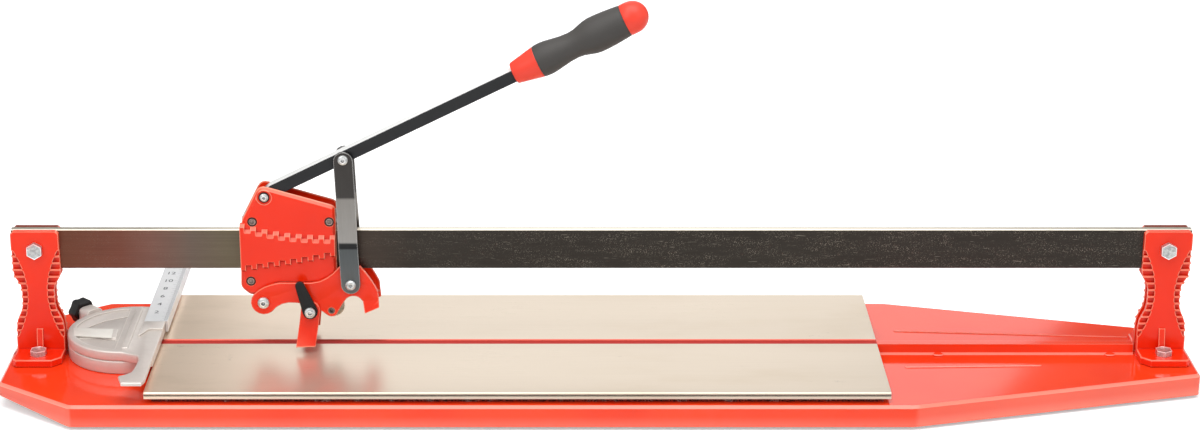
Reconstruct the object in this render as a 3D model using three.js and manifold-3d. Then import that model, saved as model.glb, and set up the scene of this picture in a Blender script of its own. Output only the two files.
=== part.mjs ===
// Manual tile cutter: a pressed steel base with two sprung deck plates, a flat steel rail held between
// two cast posts, a carriage with a hand lever that presses a scoring wheel, flip-down breaker feet and
// an angle gauge with a ruler. Millimetres, +Z up, X along the rail, the cutting line at the base's middle.
import * as THREE from 'three';
import { mergeVertices } from 'three/addons/utils/BufferGeometryUtils.js';
import Module from 'manifold-3d';

const wasm = await Module();
wasm.setup();
const { Manifold, Mesh: SolidMesh } = wasm;

// ---------------------------------------------------------------- driving dimensions

const seat = 0.05; // gap left where one piece is pressed against another in a turned group
const clearance = 0.3; // between faces that slide past each other
const holePlay = 0.2; // added to a bolt's radius for its hole

// base
const baseLength = 1059;
const baseWidth = 244;
const skirtDepth = 19.5;
const skirtGround = 3; // the rubber feet hold the skirt this far off the floor
const leftSkirtRise = 8; // the skirt's lower edge climbs this much along the left taper
const sheet = 1.5;
const pressRadius = 2.5; // the pressed edge round the top of the pan
const leftEndWidth = 141;
const leftTaper = 69.5;
const rightEndWidth = 104;
const rightTaper = 260.5;
const baseCorner = 4;
const beadRadius = 2;
const beadPastDeck = 24; // from the deck's right end to the stiffening beads
const frontBeadLength = 118;
const beadReach = 33; // of the front bead, from the cutting line
const rubberFootRadius = 11;
const leftFootInset = 84.5; // from the base's end to a rubber foot's middle
const rightFootInset = 99.5;
const baseTop = skirtGround + skirtDepth;

// deck plates and the breaking ridge between them
const deckLength = 643;
const deckEndMargin = 134.5; // from the left end of the base
const deckLeft = deckEndMargin - baseLength / 2;
const deckRight = deckLeft + deckLength;
const deckDepth = 112;
const deckThickness = 6;
const deckSlot = 9;
const cushionHeight = 4.4;
const cushionWidth = 12;
const cushionInset = 4;
const ridgeBelowDeck = 0.9;
const ridgeCrest = deckSlot - 1.4; // it fills the slot, and the plates sink past it
const ridgeFoot = 13;
const ridgeWaist = deckSlot - 0.6; // where the foot's flare ends
const ridgeFlare = 1.5; // height of that flare
const deckBottom = baseTop + cushionHeight;
const deckTop = deckBottom + deckThickness;
const ridgeTop = deckTop - ridgeBelowDeck;

// rail
const railThickness = 8;
const railHeight = 36.4;
const railUnderside = 82.2; // above the base top
const railChamfer = 0.8;
const railBottom = baseTop + railUnderside;
const railTop = railBottom + railHeight;

// posts
const postWidth = 42.5;
const postWaist = 29;
const postPlate = 5;
const postEndMargin = 6.5; // from the end of the base to the post
const postFlangeReach = 36; // from the rail's middle to the flange's front edge
const postFlangeThickness = 7;
const postFlangeCorner = 8;
const finPitch = 6.4;
const finThickness = 1.6;
const finCount = 11;
const finPocketDepth = 3;
const spineWaist = 11.5;
const gussetHeight = 20;
const gussetWidth = 5.5;
const clampBoltDrop = 17.1; // below the rail's top
const footBoltReach = 23; // from the rail's middle

// fasteners: radius of thread, flats across the head, height of head, height of nut
const m8 = { radius: 4, flats: 13, head: 5.3, nut: 6.5 };
const m6 = { radius: 3, flats: 10, head: 2.6, nut: 4 };

// carriage: places of its pivots, from the left end of its covers and from the rail's top or bottom
const carriageLeft = deckLeft + 74.5;
const coverWidth = 85.9;
const coverWall = 3.1;
const coverInside = 7.6; // from the rail's middle to a cover's inner face
const coverPeak = 43.4; // above the rail's top
const coverShoulder = 24;
const coverSkirt = 12.7; // below the rail's bottom
const panelRise = 3.7;
const panelSlope = 2.5; // how far its upper and lower edges lean in over that rise
const toothPitch = 10;
const toothHeight = 4;
const coverChamfer = 2.8;
const bearingRadius = 9.5;
const bearingWidth = 6;
const bearingGap = 0.2;
const wheelRadius = 11;
const wheelThickness = 4;

// lever
const leverAngle = THREE.MathUtils.degToRad(26.3);
const leverWidth = 14;
const leverHeight = 11;
const leverLift = 0.9; // of the bar's middle above its two pins
const gripLift = 1.7;
const leverReach = 246.3; // from the pivot to the grip
const linkPinReach = 78.3; // from the pivot to the link's pin
const ferruleLength = 24.1;
const sleeveLength = 83.6;
const capLength = 21;
const gripRadius = 14.3;

// links, arm and feet
const strip = 3; // thickness of the links, arm plates and feet
const linkWidth = 17;
const linkTopDrop = 1.5; // of the upper end's round below its pin
const linkBendTop = 36.5; // below the upper pin
const linkBendBottom = 78;
const linkPlay = 0.75; // extra radius of the lower eye, where the four-bar linkage is opened
const footWidth = 17;
const footDrop = 30.8; // from the feet's bolt to their tips
const footBend = 14;
const footSplay = THREE.MathUtils.degToRad(31);
const footLean = THREE.MathUtils.degToRad(7.8);
const toggleLength = 26;
const toggleThickness = 4;
const toggleLean = THREE.MathUtils.degToRad(19.3);

// angle gauge
const gaugeRadius = 55.5;
const gaugeCentre = new THREE.Vector2(deckLeft - 28.5, 4);
const gaugeBaseHeight = 12.2;
const gaugeTopThickness = 8.7;
const gaugeFlat = 13.5; // from the pivot to the straight side of the fixed half-disc
const fenceWidth = 11.5;
const fenceFront = -120.5;
const fenceRear = 66;
const fenceRight = deckLeft + 1.2;
const fenceArm = 60; // the fence is thin where it reaches further forward than this
const fenceArmThickness = 3;
const fenceToeLength = 15.6;
const fenceToeWidth = 24;
const rulerWidth = 21;
const rulerNear = 17.5;
const rulerLength = 246.5;
const rulerSheet = 2;
const rulerFlange = 10.4; // how far the ruler's flange hangs down beside the fence
const knobAzimuth = THREE.MathUtils.degToRad(133.7);
const knobRadius = 11.8;
const knobLobe = 0.9; // depth of its lobes
const knobThickness = 13;
const knobHeight = 39.5; // of the stud's axis above the floor
const lugReach = 68; // from the gauge's pivot to the lug's outer face

// ---------------------------------------------------------------- colours

const finishes = {
  red: [0xe5281b, 0.32, 0.0],
  castRed: [0xe02a1c, 0.38, 0.0],
  gripRed: [0xee3a22, 0.42, 0.0],
  deck: [0xb3a899, 0.38, 0.75],
  railSteel: [0x3b3430, 0.42, 0.7],
  zinc: [0xb9bcbd, 0.3, 0.9],
  linkSteel: [0x7d7f7e, 0.38, 0.8],
  darkScrew: [0x3a2f2c, 0.45, 0.7],
  blackSteel: [0x1b1b1d, 0.4, 0.4],
  blackPlastic: [0x151515, 0.5, 0.0],
  gripRubber: [0x4a4745, 0.65, 0.0],
  castAluminium: [0xb4b3b3, 0.4, 0.75],
  rulerFace: [0xd9dadb, 0.35, 0.5],
  foam: [0x6f3b33, 0.9, 0.0],
  rubber: [0x202020, 0.8, 0.0],
  toolSteel: [0x8d8578, 0.3, 0.9],
};

function finish(name) {
  const [color, roughness, metalness] = finishes[name];
  return new THREE.MeshStandardMaterial({ color, roughness, metalness });
}

// ---------------------------------------------------------------- making and cutting solids

const axisX = new THREE.Vector3(1, 0, 0);
const axisY = new THREE.Vector3(0, 1, 0);
const axisZ = new THREE.Vector3(0, 0, 1);
// An outline drawn in the XY plane and pulled along +Z is turned to lie across X, Y or Z.
const acrossX = new THREE.Matrix4().makeBasis(axisY, axisZ, axisX);
const acrossY = new THREE.Matrix4().makeBasis(axisX, axisZ, axisY.clone().negate());
// A turned profile stands on +Y; these lay its axis along X or Z.
const axisAlongX = new THREE.Matrix4().makeBasis(axisY, axisX, axisZ.clone().negate());
const axisAlongZ = acrossY;

function solidOf(geometry) {
  const bare = geometry.clone();
  bare.deleteAttribute('normal');
  bare.deleteAttribute('uv');
  const merged = mergeVertices(bare, 1e-4);
  const corners = merged.index.array;
  const faces = [];
  for (let i = 0; i < corners.length; i += 3) {
    const [a, b, c] = [corners[i], corners[i + 1], corners[i + 2]];
    if (a !== b && b !== c && c !== a) faces.push(a, b, c);
  }
  return new Manifold(new SolidMesh({
    numProp: 3,
    vertProperties: new Float32Array(merged.attributes.position.array),
    triVerts: new Uint32Array(faces),
  }));
}

function geometryOf(solid) {
  const { vertProperties, triVerts } = solid.getMesh();
  const geometry = new THREE.BufferGeometry();
  geometry.setAttribute('position', new THREE.BufferAttribute(new Float32Array(vertProperties), 3));
  geometry.setIndex(new THREE.BufferAttribute(new Uint32Array(triVerts), 1));
  const loose = geometry.toNonIndexed();
  loose.computeVertexNormals();
  return loose;
}

const join = (first, ...others) => others.reduce((sum, solid) => sum.add(solid), first);
const cut = (first, ...tools) => tools.reduce((rest, tool) => rest.subtract(tool), first);

// The mirror image of a geometry through the plane across one axis, with its faces still pointing out.
function mirrored(geometry, axis) {
  const image = geometry.clone();
  image.scale(axis === 'x' ? -1 : 1, axis === 'y' ? -1 : 1, 1);
  const position = image.attributes.position;
  const corner = new THREE.Vector3();
  const other = new THREE.Vector3();
  for (let i = 0; i < position.count; i += 3) {
    corner.fromBufferAttribute(position, i + 1);
    other.fromBufferAttribute(position, i + 2);
    position.setXYZ(i + 1, other.x, other.y, other.z);
    position.setXYZ(i + 2, corner.x, corner.y, corner.z);
  }
  image.computeVertexNormals();
  return image;
}

// An outline pulled from one level to another, with its end edges chamfered.
function pulled(shape, from, to, { chamfer = 0, curveSegments = 6 } = {}) {
  const geometry = new THREE.ExtrudeGeometry(shape, {
    depth: to - from - 2 * chamfer,
    bevelEnabled: chamfer > 0,
    bevelThickness: chamfer,
    bevelSize: chamfer,
    bevelOffset: -chamfer,
    bevelSegments: 1,
    curveSegments,
  });
  return geometry.translate(0, 0, from + chamfer);
}

const pulledZ = (shape, from, to, options) => solidOf(pulled(shape, from, to, options));
const pulledX = (shape, from, to, options) => solidOf(pulled(shape, from, to, options).applyMatrix4(acrossX));
// Across Y the outline is (x, z), and the solid runs from y = from to y = to.
const pulledY = (shape, from, to, options) => solidOf(pulled(shape, -to, -from, options).applyMatrix4(acrossY));

const polygon = (points) => new THREE.Shape(points.map(([x, y]) => new THREE.Vector2(x, y)));

// A polygon with each corner rounded by a curve that starts and ends `radius` away from the corner.
function roundedPolygon(points, radius) {
  const shape = new THREE.Shape();
  const corners = points.map(([x, y]) => new THREE.Vector2(x, y));
  corners.forEach((corner, i) => {
    const before = corners[(i + corners.length - 1) % corners.length];
    const after = corners[(i + 1) % corners.length];
    const reach = Array.isArray(radius) ? radius[i] : radius;
    const start = before.clone().sub(corner).setLength(reach).add(corner);
    const end = after.clone().sub(corner).setLength(reach).add(corner);
    if (i === 0) shape.moveTo(start.x, start.y);
    else shape.lineTo(start.x, start.y);
    shape.quadraticCurveTo(corner.x, corner.y, end.x, end.y);
  });
  shape.closePath();
  return shape;
}

// The polygon with each side moved inwards, for a counter-clockwise outline.
function inset(points, distance) {
  const corners = points.map(([x, y]) => new THREE.Vector2(x, y));
  return corners.map((corner, i) => {
    const before = corners[(i + corners.length - 1) % corners.length];
    const after = corners[(i + 1) % corners.length];
    const sideIn = corner.clone().sub(before).normalize();
    const sideOut = after.clone().sub(corner).normalize();
    const normal = new THREE.Vector2(-sideIn.y, sideIn.x);
    const turn = sideIn.cross(sideOut);
    const slide = distance * (1 - sideIn.dot(sideOut)) / turn;
    return [
      corner.x + normal.x * distance - sideIn.x * slide,
      corner.y + normal.y * distance - sideIn.y * slide,
    ];
  });
}

// A band with round ends between two points.
function capsule(x0, y0, x1, y1, radius0, radius1 = radius0) {
  const direction = Math.atan2(y1 - y0, x1 - x0);
  const span = Math.hypot(x1 - x0, y1 - y0);
  const spread = Math.acos((radius0 - radius1) / span);
  const shape = new THREE.Shape();
  shape.absarc(x0, y0, radius0, direction + spread, direction - spread + 2 * Math.PI, false);
  shape.absarc(x1, y1, radius1, direction - spread, direction + spread, false);
  shape.closePath();
  return shape;
}

const box = (x0, x1, y0, y1, z0, z1) => solidOf(
  new THREE.BoxGeometry(x1 - x0, y1 - y0, z1 - z0).translate((x0 + x1) / 2, (y0 + y1) / 2, (z0 + z1) / 2));

// A closed profile of [radius, height] points, listed upwards along its outside, turned round its axis.
function turned(profile, segments = 18) {
  return new THREE.LatheGeometry(profile.map(([r, y]) => new THREE.Vector2(r, y)), segments);
}

// A rod across Y or Z at a given centre.
const rodY = (x, z, radius, from, to, segments = 18) => solidOf(
  new THREE.CylinderGeometry(radius, radius, to - from, segments).translate(x, (from + to) / 2, z));
const rodZ = (x, y, radius, from, to, segments = 18) => solidOf(
  new THREE.CylinderGeometry(radius, radius, to - from, segments).applyMatrix4(axisAlongZ)
    .translate(x, y, (from + to) / 2));

const acrossFlats = (flats) => flats / Math.sqrt(3);

// A bolt standing on +Z: its head sits on z = 0, and its nut closes on the grip below.
function hexBolt({ radius, flats, head, nut }, grip) {
  const prism = (from, to) => rodZ(0, 0, acrossFlats(flats), from, to, 6);
  const tail = 1.5;
  return join(
    rodZ(0, 0, radius, -grip - nut - tail, 0.5, 12),
    prism(0, head),
    prism(-grip - nut, -grip),
  );
}

// A pan-head bolt across Y with a hex socket, its head in front and its nut behind.
function panBolt({ radius, flats, nut }, headRadius, head, front, back) {
  const dome = turned([
    [0, front], [headRadius, front], [headRadius, front - 0.55 * head], [0.7 * headRadius, front - head],
    [0, front - head],
  ].reverse(), 16);
  const socket = rodY(0, 0, 0.45 * headRadius, front - head - 1, front - 0.45 * head, 6);
  const body = join(solidOf(dome), rodY(0, 0, radius, front - 0.2, back + nut + 1, 12));
  return join(cut(body, socket), rodY(0, 0, acrossFlats(flats), back, back + nut, 6));
}

// ---------------------------------------------------------------- the assembly

const cutter = new THREE.Group();

function add(name, finishName, shape, parent = cutter) {
  const geometry = shape.isBufferGeometry ? shape : geometryOf(shape);
  const piece = new THREE.Mesh(geometry, finish(finishName));
  piece.name = name;
  parent.add(piece);
  return piece;
}

function groupAt(x, y, z, parent = cutter) {
  const group = new THREE.Group();
  group.position.set(x, y, z);
  parent.add(group);
  return group;
}

// ---------------------------------------------------------------- base pan

const halfLength = baseLength / 2;
const halfWidth = baseWidth / 2;
const baseOutline = [
  [-halfLength, -leftEndWidth / 2], [-halfLength + leftTaper, -halfWidth],
  [halfLength - rightTaper, -halfWidth], [halfLength, -rightEndWidth / 2],
  [halfLength, rightEndWidth / 2], [halfLength - rightTaper, halfWidth],
  [-halfLength + leftTaper, halfWidth], [-halfLength, leftEndWidth / 2],
];

const postInner = halfLength - postEndMargin - postWidth; // distance of a post's inner side from the middle
const postCentre = postInner + postWidth / 2;
const footBoltPlaces = [-1, 1].flatMap((end) => [-1, 1].map((side) => [end * postCentre, side * footBoltReach]));

function basePan() {
  const outside = pulledZ(roundedPolygon(baseOutline, baseCorner), skirtGround - 2 * pressRadius, baseTop,
    { chamfer: pressRadius, curveSegments: 3 });
  const below = box(-baseLength, baseLength, -baseWidth, baseWidth, -baseTop, skirtGround);
  const rise = pulledY(polygon([
    [-halfLength - 1, 0], [-halfLength + leftTaper, 0], [-halfLength + leftTaper, skirtGround],
    [-halfLength, skirtGround + leftSkirtRise], [-halfLength - 1, skirtGround + leftSkirtRise],
  ]), -baseWidth, baseWidth);
  const hollow = pulledZ(roundedPolygon(inset(baseOutline, sheet), baseCorner - sheet),
    skirtGround - 1, baseTop - sheet, { curveSegments: 3 });

  // the breaking ridge is folded up out of the sheet from the deck to the right post
  const ridgeEnd = postInner - 2;
  const ridge = (foot, inwards, lower) => polygon([
    [-ridgeFoot / 2 + inwards, foot], [ridgeFoot / 2 - inwards, foot],
    [ridgeFoot / 2 - inwards, baseTop - lower], [ridgeWaist / 2 - inwards, baseTop + ridgeFlare - lower],
    [ridgeCrest / 2 - inwards / 2, ridgeTop - lower], [-ridgeCrest / 2 + inwards / 2, ridgeTop - lower],
    [-ridgeWaist / 2 + inwards, baseTop + ridgeFlare - lower], [-ridgeFoot / 2 + inwards, baseTop - lower],
  ]);
  const crest = pulledX(ridge(baseTop - sheet / 2, 0, 0), deckLeft, ridgeEnd);
  const crestHollow = pulledX(ridge(baseTop - 2 * sheet, sheet, sheet), deckLeft + sheet, ridgeEnd - sheet);

  // two stiffening beads run beside the ridge to the right post
  const beadStart = deckRight + beadPastDeck;
  const beads = [
    [beadStart, 1.55 * beadReach, postInner - 1, 1.1 * beadReach],
    [beadStart, -1.05 * beadReach, beadStart + frontBeadLength, -0.95 * beadReach],
  ].map((ends) => pulledZ(
    capsule(...ends, beadRadius), baseTop - sheet / 2, baseTop + 1, { chamfer: 0.7, curveSegments: 4 }));

  const boltHoles = footBoltPlaces.map(([x, y]) => rodZ(x, y, m8.radius + holePlay, baseTop - 5, baseTop + 1, 16));
  const pivotHole = rodZ(gaugeCentre.x, gaugeCentre.y, m8.radius + holePlay, baseTop - 5, baseTop + 1, 16);
  return cut(join(cut(outside, below, rise), crest, ...beads), hollow, crestHollow, ...boltHoles, pivotHole);
}

add('base_pan', 'red', basePan());

// four rubber feet under the sheet
const leftFootX = leftFootInset - halfLength;
const rightFootX = halfLength - rightFootInset;
const leftFootReach = halfWidth - 2.75 * rubberFootRadius;
const rightFootReach = rightEndWidth / 2 + 0.55 * rubberFootRadius;
const rubberFootPlaces = [
  ['front_left', leftFootX, -1, leftFootReach], ['rear_left', leftFootX, 1, leftFootReach],
  ['front_right', rightFootX, -1, rightFootReach], ['rear_right', rightFootX, 1, rightFootReach],
];
for (const [place, x, side, reach] of rubberFootPlaces) {
  const profile = [
    [0, 0], [rubberFootRadius - 1, 0], [rubberFootRadius, 1], [rubberFootRadius - 2.5, baseTop - sheet],
    [0, baseTop - sheet],
  ];
  const foot = add(`rubber_foot_${place}`, 'rubber', solidOf(turned(profile).applyMatrix4(axisAlongZ)));
  foot.position.set(x, side * reach, 0);
}

// ---------------------------------------------------------------- deck plates on their foam strips

function deckPlate() {
  const inner = deckSlot / 2;
  const outer = inner + deckDepth;
  const edge = 0.8;
  const groove = 0.8;
  const grooveTop = deckTop - 2.6;
  const profile = polygon([
    [-inner - edge, deckBottom], [-inner, deckBottom + edge], [-inner, deckTop - edge], [-inner - edge, deckTop],
    [-outer + edge, deckTop], [-outer, deckTop - edge],
    [-outer, grooveTop], [-outer + groove, grooveTop - groove / 4],
    [-outer + groove, grooveTop - groove], [-outer, grooveTop - 1.25 * groove],
    [-outer, deckBottom],
  ].reverse());
  return geometryOf(pulledX(profile, deckLeft, deckLeft + deckLength));
}

const frontDeck = deckPlate();
add('deck_plate_front', 'deck', frontDeck);
add('deck_plate_rear', 'deck', mirrored(frontDeck, 'y'));

const cushionEndInset = 6;
const outerCushion = deckSlot / 2 + deckDepth - cushionInset - cushionWidth;
const innerCushion = ridgeFoot / 2 + cushionInset;
for (const [side, sign] of [['front', -1], ['rear', 1]]) {
  for (const [place, reach] of [['outer', outerCushion], ['inner', innerCushion]]) {
    const middle = sign * (reach + cushionWidth / 2);
    add(`deck_cushion_${side}_${place}`, 'foam', box(
      deckLeft + cushionEndInset, deckLeft + deckLength - cushionEndInset,
      middle - cushionWidth / 2, middle + cushionWidth / 2, baseTop, deckBottom));
  }
}

// ---------------------------------------------------------------- rail

const railHalf = railThickness / 2;
const clampBoltLevel = railTop - clampBoltDrop;

function rail() {
  const c = railChamfer;
  const profile = polygon([
    [-railHalf + c, railBottom], [railHalf - c, railBottom], [railHalf, railBottom + c],
    [railHalf, railTop - c], [railHalf - c, railTop], [-railHalf + c, railTop],
    [-railHalf, railTop - c], [-railHalf, railBottom + c],
  ]);
  const end = postInner + postWidth;
  const holes = [-1, 1].map((side) => rodY(side * postCentre, clampBoltLevel, m8.radius + holePlay,
    -railThickness, railThickness, 16));
  return cut(pulledX(profile, -end, end), ...holes);
}

add('rail_bar', 'railSteel', rail());

// ---------------------------------------------------------------- posts
// Each post is two mirror-image castings that clamp the rail between them. A casting has a waisted
// plate, a row of fins up each edge, a foot flange and a gusset above the flange's bolt.

const postFace = railHalf + postPlate;

function postHalf() {
  const top = railTop;
  const half = postWidth / 2;
  const waist = postWaist / 2;
  const shoulder = railBottom - 0.2;
  const ankle = baseTop + 26;
  const waistHigh = railBottom - 20.2;
  const waistLow = ankle + 24;
  const corner = 2.5;
  const outline = new THREE.Shape();
  outline.moveTo(-half, baseTop);
  outline.lineTo(half, baseTop);
  outline.lineTo(half, ankle);
  outline.bezierCurveTo(half, ankle + 12, waist, waistLow - 10, waist, waistLow);
  outline.lineTo(waist, waistHigh);
  outline.bezierCurveTo(waist, waistHigh + 10, half, shoulder - 12, half, shoulder);
  outline.lineTo(half, top - corner);
  outline.lineTo(half - corner, top);
  outline.lineTo(-half + corner, top);
  outline.lineTo(-half, top - corner);
  outline.lineTo(-half, shoulder);
  outline.bezierCurveTo(-half, shoulder - 12, -waist, waistHigh + 10, -waist, waistHigh);
  outline.lineTo(-waist, waistLow);
  outline.bezierCurveTo(-waist, waistLow - 10, -half, ankle + 12, -half, ankle);
  outline.closePath();
  const plate = pulledY(outline, -postFace, -railHalf, { curveSegments: 4 });

  // the pockets between the fins lie outside a bow-shaped line that leaves a smooth spine
  const bowTop = railTop - 15.6;
  const bowBottom = baseTop + 17;
  const spine = spineWaist / 2;
  const pocketZone = new THREE.Shape();
  pocketZone.moveTo(half + 1, bowBottom);
  pocketZone.lineTo(half - 0.5, bowBottom);
  pocketZone.bezierCurveTo(spine - 1, bowBottom + 30, spine - 1, bowTop - 30, half - 0.5, bowTop);
  pocketZone.lineTo(half + 1, bowTop);
  pocketZone.closePath();
  const zone = pulledY(pocketZone, -postFace - 1, -postFace + finPocketDepth, { curveSegments: 7 });
  const rows = (bowTop - bowBottom) / finPitch;
  const start = (bowTop + bowBottom) / 2 - finPitch * finCount / 2;
  const bands = [];
  for (let i = -1; i <= Math.ceil(rows) && i <= finCount; i += 1) {
    const low = start + i * finPitch + finThickness / 2;
    bands.push(box(0, half + 2, -postFace - 2, -railHalf, low, low + finPitch - finThickness));
  }
  const rightPockets = bands.map((band) => zone.intersect(band)).filter((cell) => !cell.isEmpty());
  const leftPockets = rightPockets.map((cell) => solidOf(mirrored(geometryOf(cell), 'x')));

  const flange = pulledZ(polygon([
    [-half, -postFlangeReach + 3], [-half + 3, -postFlangeReach],
    [half - postFlangeCorner, -postFlangeReach], [half, -postFlangeReach + postFlangeCorner],
    [half, -railHalf], [-half, -railHalf],
  ]), baseTop, baseTop + postFlangeThickness, { chamfer: 0.9 });
  const flangeTop = baseTop + postFlangeThickness;
  const gusset = pulledX(polygon([
    [-postFace + 1, flangeTop - 1], [-postFace + 1, flangeTop + gussetHeight],
    [-postFace - 1.5, flangeTop + gussetHeight], [-footBoltReach + acrossFlats(m8.flats) + 0.8, flangeTop - 1],
  ].reverse()), -gussetWidth / 2, gussetWidth / 2);

  const boltHole = rodY(0, clampBoltLevel, m8.radius + holePlay, -postFace - 1, 0, 16);
  const footHole = rodZ(0, -footBoltReach, m8.radius + holePlay, baseTop - 1, flangeTop + 1, 16);
  return geometryOf(cut(join(cut(plate, ...rightPockets, ...leftPockets), flange, gusset), boltHole, footHole));
}

const leftFrontPost = postHalf();
const leftRearPost = mirrored(leftFrontPost, 'y');
add('left_post_front', 'castRed', leftFrontPost).position.x = -postCentre;
add('left_post_rear', 'castRed', leftRearPost).position.x = -postCentre;
add('right_post_front', 'castRed', mirrored(leftFrontPost, 'x')).position.x = postCentre;
add('right_post_rear', 'castRed', mirrored(leftRearPost, 'x')).position.x = postCentre;

const clampBolt = geometryOf(hexBolt(m8, 2 * postFace)).applyMatrix4(
  new THREE.Matrix4().makeBasis(axisX, axisZ, axisY.clone().negate()));
add('left_clamp_bolt', 'zinc', clampBolt).position.set(-postCentre, -postFace, clampBoltLevel);
add('right_clamp_bolt', 'zinc', clampBolt).position.set(postCentre, -postFace, clampBoltLevel);

const footBolt = geometryOf(hexBolt(m8, postFlangeThickness + sheet));
footBoltPlaces.forEach(([x, y]) => {
  const name = `${x < 0 ? 'left' : 'right'}_foot_bolt_${y < 0 ? 'front' : 'rear'}`;
  add(name, 'zinc', footBolt).position.set(x, y, baseTop + postFlangeThickness);
});

// ---------------------------------------------------------------- angle gauge
// A half-disc is fixed to the base. The guide turns on it: another half-disc with the fence that
// carries the ruler. The knob's stud runs through a lug of the fixed half and grips the guide's rim.

const gaugeSeam = baseTop + gaugeBaseHeight;
const guideBottom = gaugeSeam + clearance;
const guideTop = guideBottom + gaugeTopThickness;
const gauge = groupAt(gaugeCentre.x, gaugeCentre.y, 0);
const studRadius = 3;

function gaugeBase() {
  const reach = Math.acos(gaugeFlat / gaugeRadius);
  const outline = new THREE.Shape();
  outline.absarc(0, 0, gaugeRadius, reach, 2 * Math.PI - reach, false);
  outline.closePath();
  const disc = pulledZ(outline, baseTop, gaugeSeam, { chamfer: 0.8, curveSegments: 14 });

  const lugWidth = 17;
  const lugTop = knobHeight + 7;
  const lug = pulledX(roundedPolygon([
    [-lugWidth / 2, baseTop], [lugWidth / 2, baseTop], [lugWidth / 2, lugTop], [-lugWidth / 2, lugTop],
  ], [0.5, 0.5, 5, 5]), gaugeRadius - 8, lugReach, { curveSegments: 3 });
  const turnRoom = rodZ(0, 0, gaugeRadius + clearance, gaugeSeam, lugTop + 5, 48);
  const studHole = solidOf(new THREE.CylinderGeometry(studRadius + holePlay, studRadius + holePlay,
    lugReach, 16).applyMatrix4(axisAlongX).translate(lugReach, 0, knobHeight));
  const turnedLug = geometryOf(cut(lug, turnRoom, studHole)).applyMatrix4(
    new THREE.Matrix4().makeRotationZ(knobAzimuth));
  return cut(join(disc, solidOf(turnedLug)), rodZ(0, 0, m8.radius + holePlay, 0, guideTop, 16));
}

const fenceRightLocal = fenceRight - gaugeCentre.x;
const fenceLeftLocal = fenceRightLocal - fenceWidth;

function angleGuide() {
  const [front, rear] = [fenceFront - gaugeCentre.y, fenceRear - gaugeCentre.y];
  const armStart = -fenceArm - gaugeCentre.y;
  const shoulder = -gaugeRadius - 1.8;
  const toeTop = front + fenceToeLength;
  const toeLeft = fenceRightLocal - fenceToeWidth;
  const outline = new THREE.Shape();
  outline.absarc(0, 0, gaugeRadius, THREE.MathUtils.degToRad(80), THREE.MathUtils.degToRad(271), false);
  outline.lineTo(fenceLeftLocal - 13.5, shoulder);
  outline.lineTo(fenceLeftLocal - 3.5, armStart + 2.6);
  outline.lineTo(fenceLeftLocal - 1, armStart - 3.6);
  outline.lineTo(fenceLeftLocal, armStart - 10);
  outline.quadraticCurveTo(fenceLeftLocal - 1, toeTop + 14, fenceLeftLocal - 2.7, toeTop + 8.9);
  outline.quadraticCurveTo(fenceLeftLocal - 5, toeTop + 4.5, toeLeft, toeTop);
  outline.lineTo(toeLeft + 4.6, front);
  outline.lineTo(fenceRightLocal - 2.1, front);
  outline.lineTo(fenceRightLocal, front + 8);
  outline.lineTo(fenceRightLocal, rear);
  outline.lineTo(fenceLeftLocal, rear);
  outline.closePath();
  const plate = pulledZ(outline, guideBottom, guideTop, { chamfer: 0.8, curveSegments: 12 });
  const underArm = box(toeLeft - 5, fenceRightLocal + 5, front - 5, armStart - 3.6,
    guideBottom - 5, guideTop - fenceArmThickness);

  // top relief: a sunk field inside the rim with a raised blank pad and a narrow groove on each side of it
  const relief = 1.6;
  const fieldRadius = gaugeRadius - 6.5;
  const fieldEdge = -6.5;
  const spread = Math.acos(fieldEdge / fieldRadius);
  const field = new THREE.Shape();
  field.absarc(0, 0, fieldRadius, spread, 2 * Math.PI - spread, false);
  field.closePath();
  const sunk = pulledZ(field, guideTop - relief, guideTop + 2, { curveSegments: 12 });
  const pad = pulledZ(polygon([[-46.5, 1.3], [-43, -16.3], [-9.4, -21.7], [-10.8, -0.9]]),
    guideTop - 2 * relief, guideTop - 0.3);
  const grooves = [
    [[-37.6, 7.8], [-24.7, 23.2], [-7.6, 31.8]],
    [[-41, -20.7], [-25.7, -19.8], [-8.5, -24.7]],
  ].flatMap((points) => points.slice(1).map((end, i) => pulledZ(
    capsule(...points[i], ...end, 1), guideTop - 3 * relief, guideTop, { curveSegments: 4 })));
  const stem = pulledZ(roundedPolygon([[-1, -48], [5, -48], [5, 50], [-1, 50]], 2),
    guideTop - 1, guideTop + 1.3, { chamfer: 0.5, curveSegments: 2 });
  const pivot = rodZ(0, 0, m8.radius + holePlay, guideBottom - 1, guideTop - 2.5, 16);
  return cut(join(cut(plate, sunk), pad, stem), ...grooves, underArm, pivot);
}

add('gauge_base', 'castAluminium', gaugeBase(), gauge);
add('angle_guide', 'castAluminium', angleGuide(), gauge);

// The pivot screw comes up from under the pan and ends inside the guide.
const pivotHeadBottom = baseTop - sheet - m8.head;
add('guide_pivot_screw', 'zinc', join(
  rodZ(0, 0, acrossFlats(m8.flats), pivotHeadBottom, baseTop - sheet, 6),
  rodZ(0, 0, m8.radius, baseTop - sheet - 1, guideTop - 3, 16),
), gauge);

function ruler() {
  const top = guideTop + rulerSheet;
  const right = fenceRightLocal + clearance + rulerSheet;
  const left = right - rulerWidth;
  const profile = polygon([
    [left, guideTop], [right - rulerSheet, guideTop], [right - rulerSheet, top - rulerFlange],
    [right, top - rulerFlange], [right, top], [left, top],
  ]);
  const near = rulerNear - gaugeCentre.y;
  const channel = new THREE.ExtrudeGeometry(profile, { depth: rulerLength, bevelEnabled: false });
  channel.applyMatrix4(acrossY).translate(0, near + rulerLength, 0);
  return solidOf(channel);
}

add('ruler', 'rulerFace', ruler(), gauge);

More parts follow.
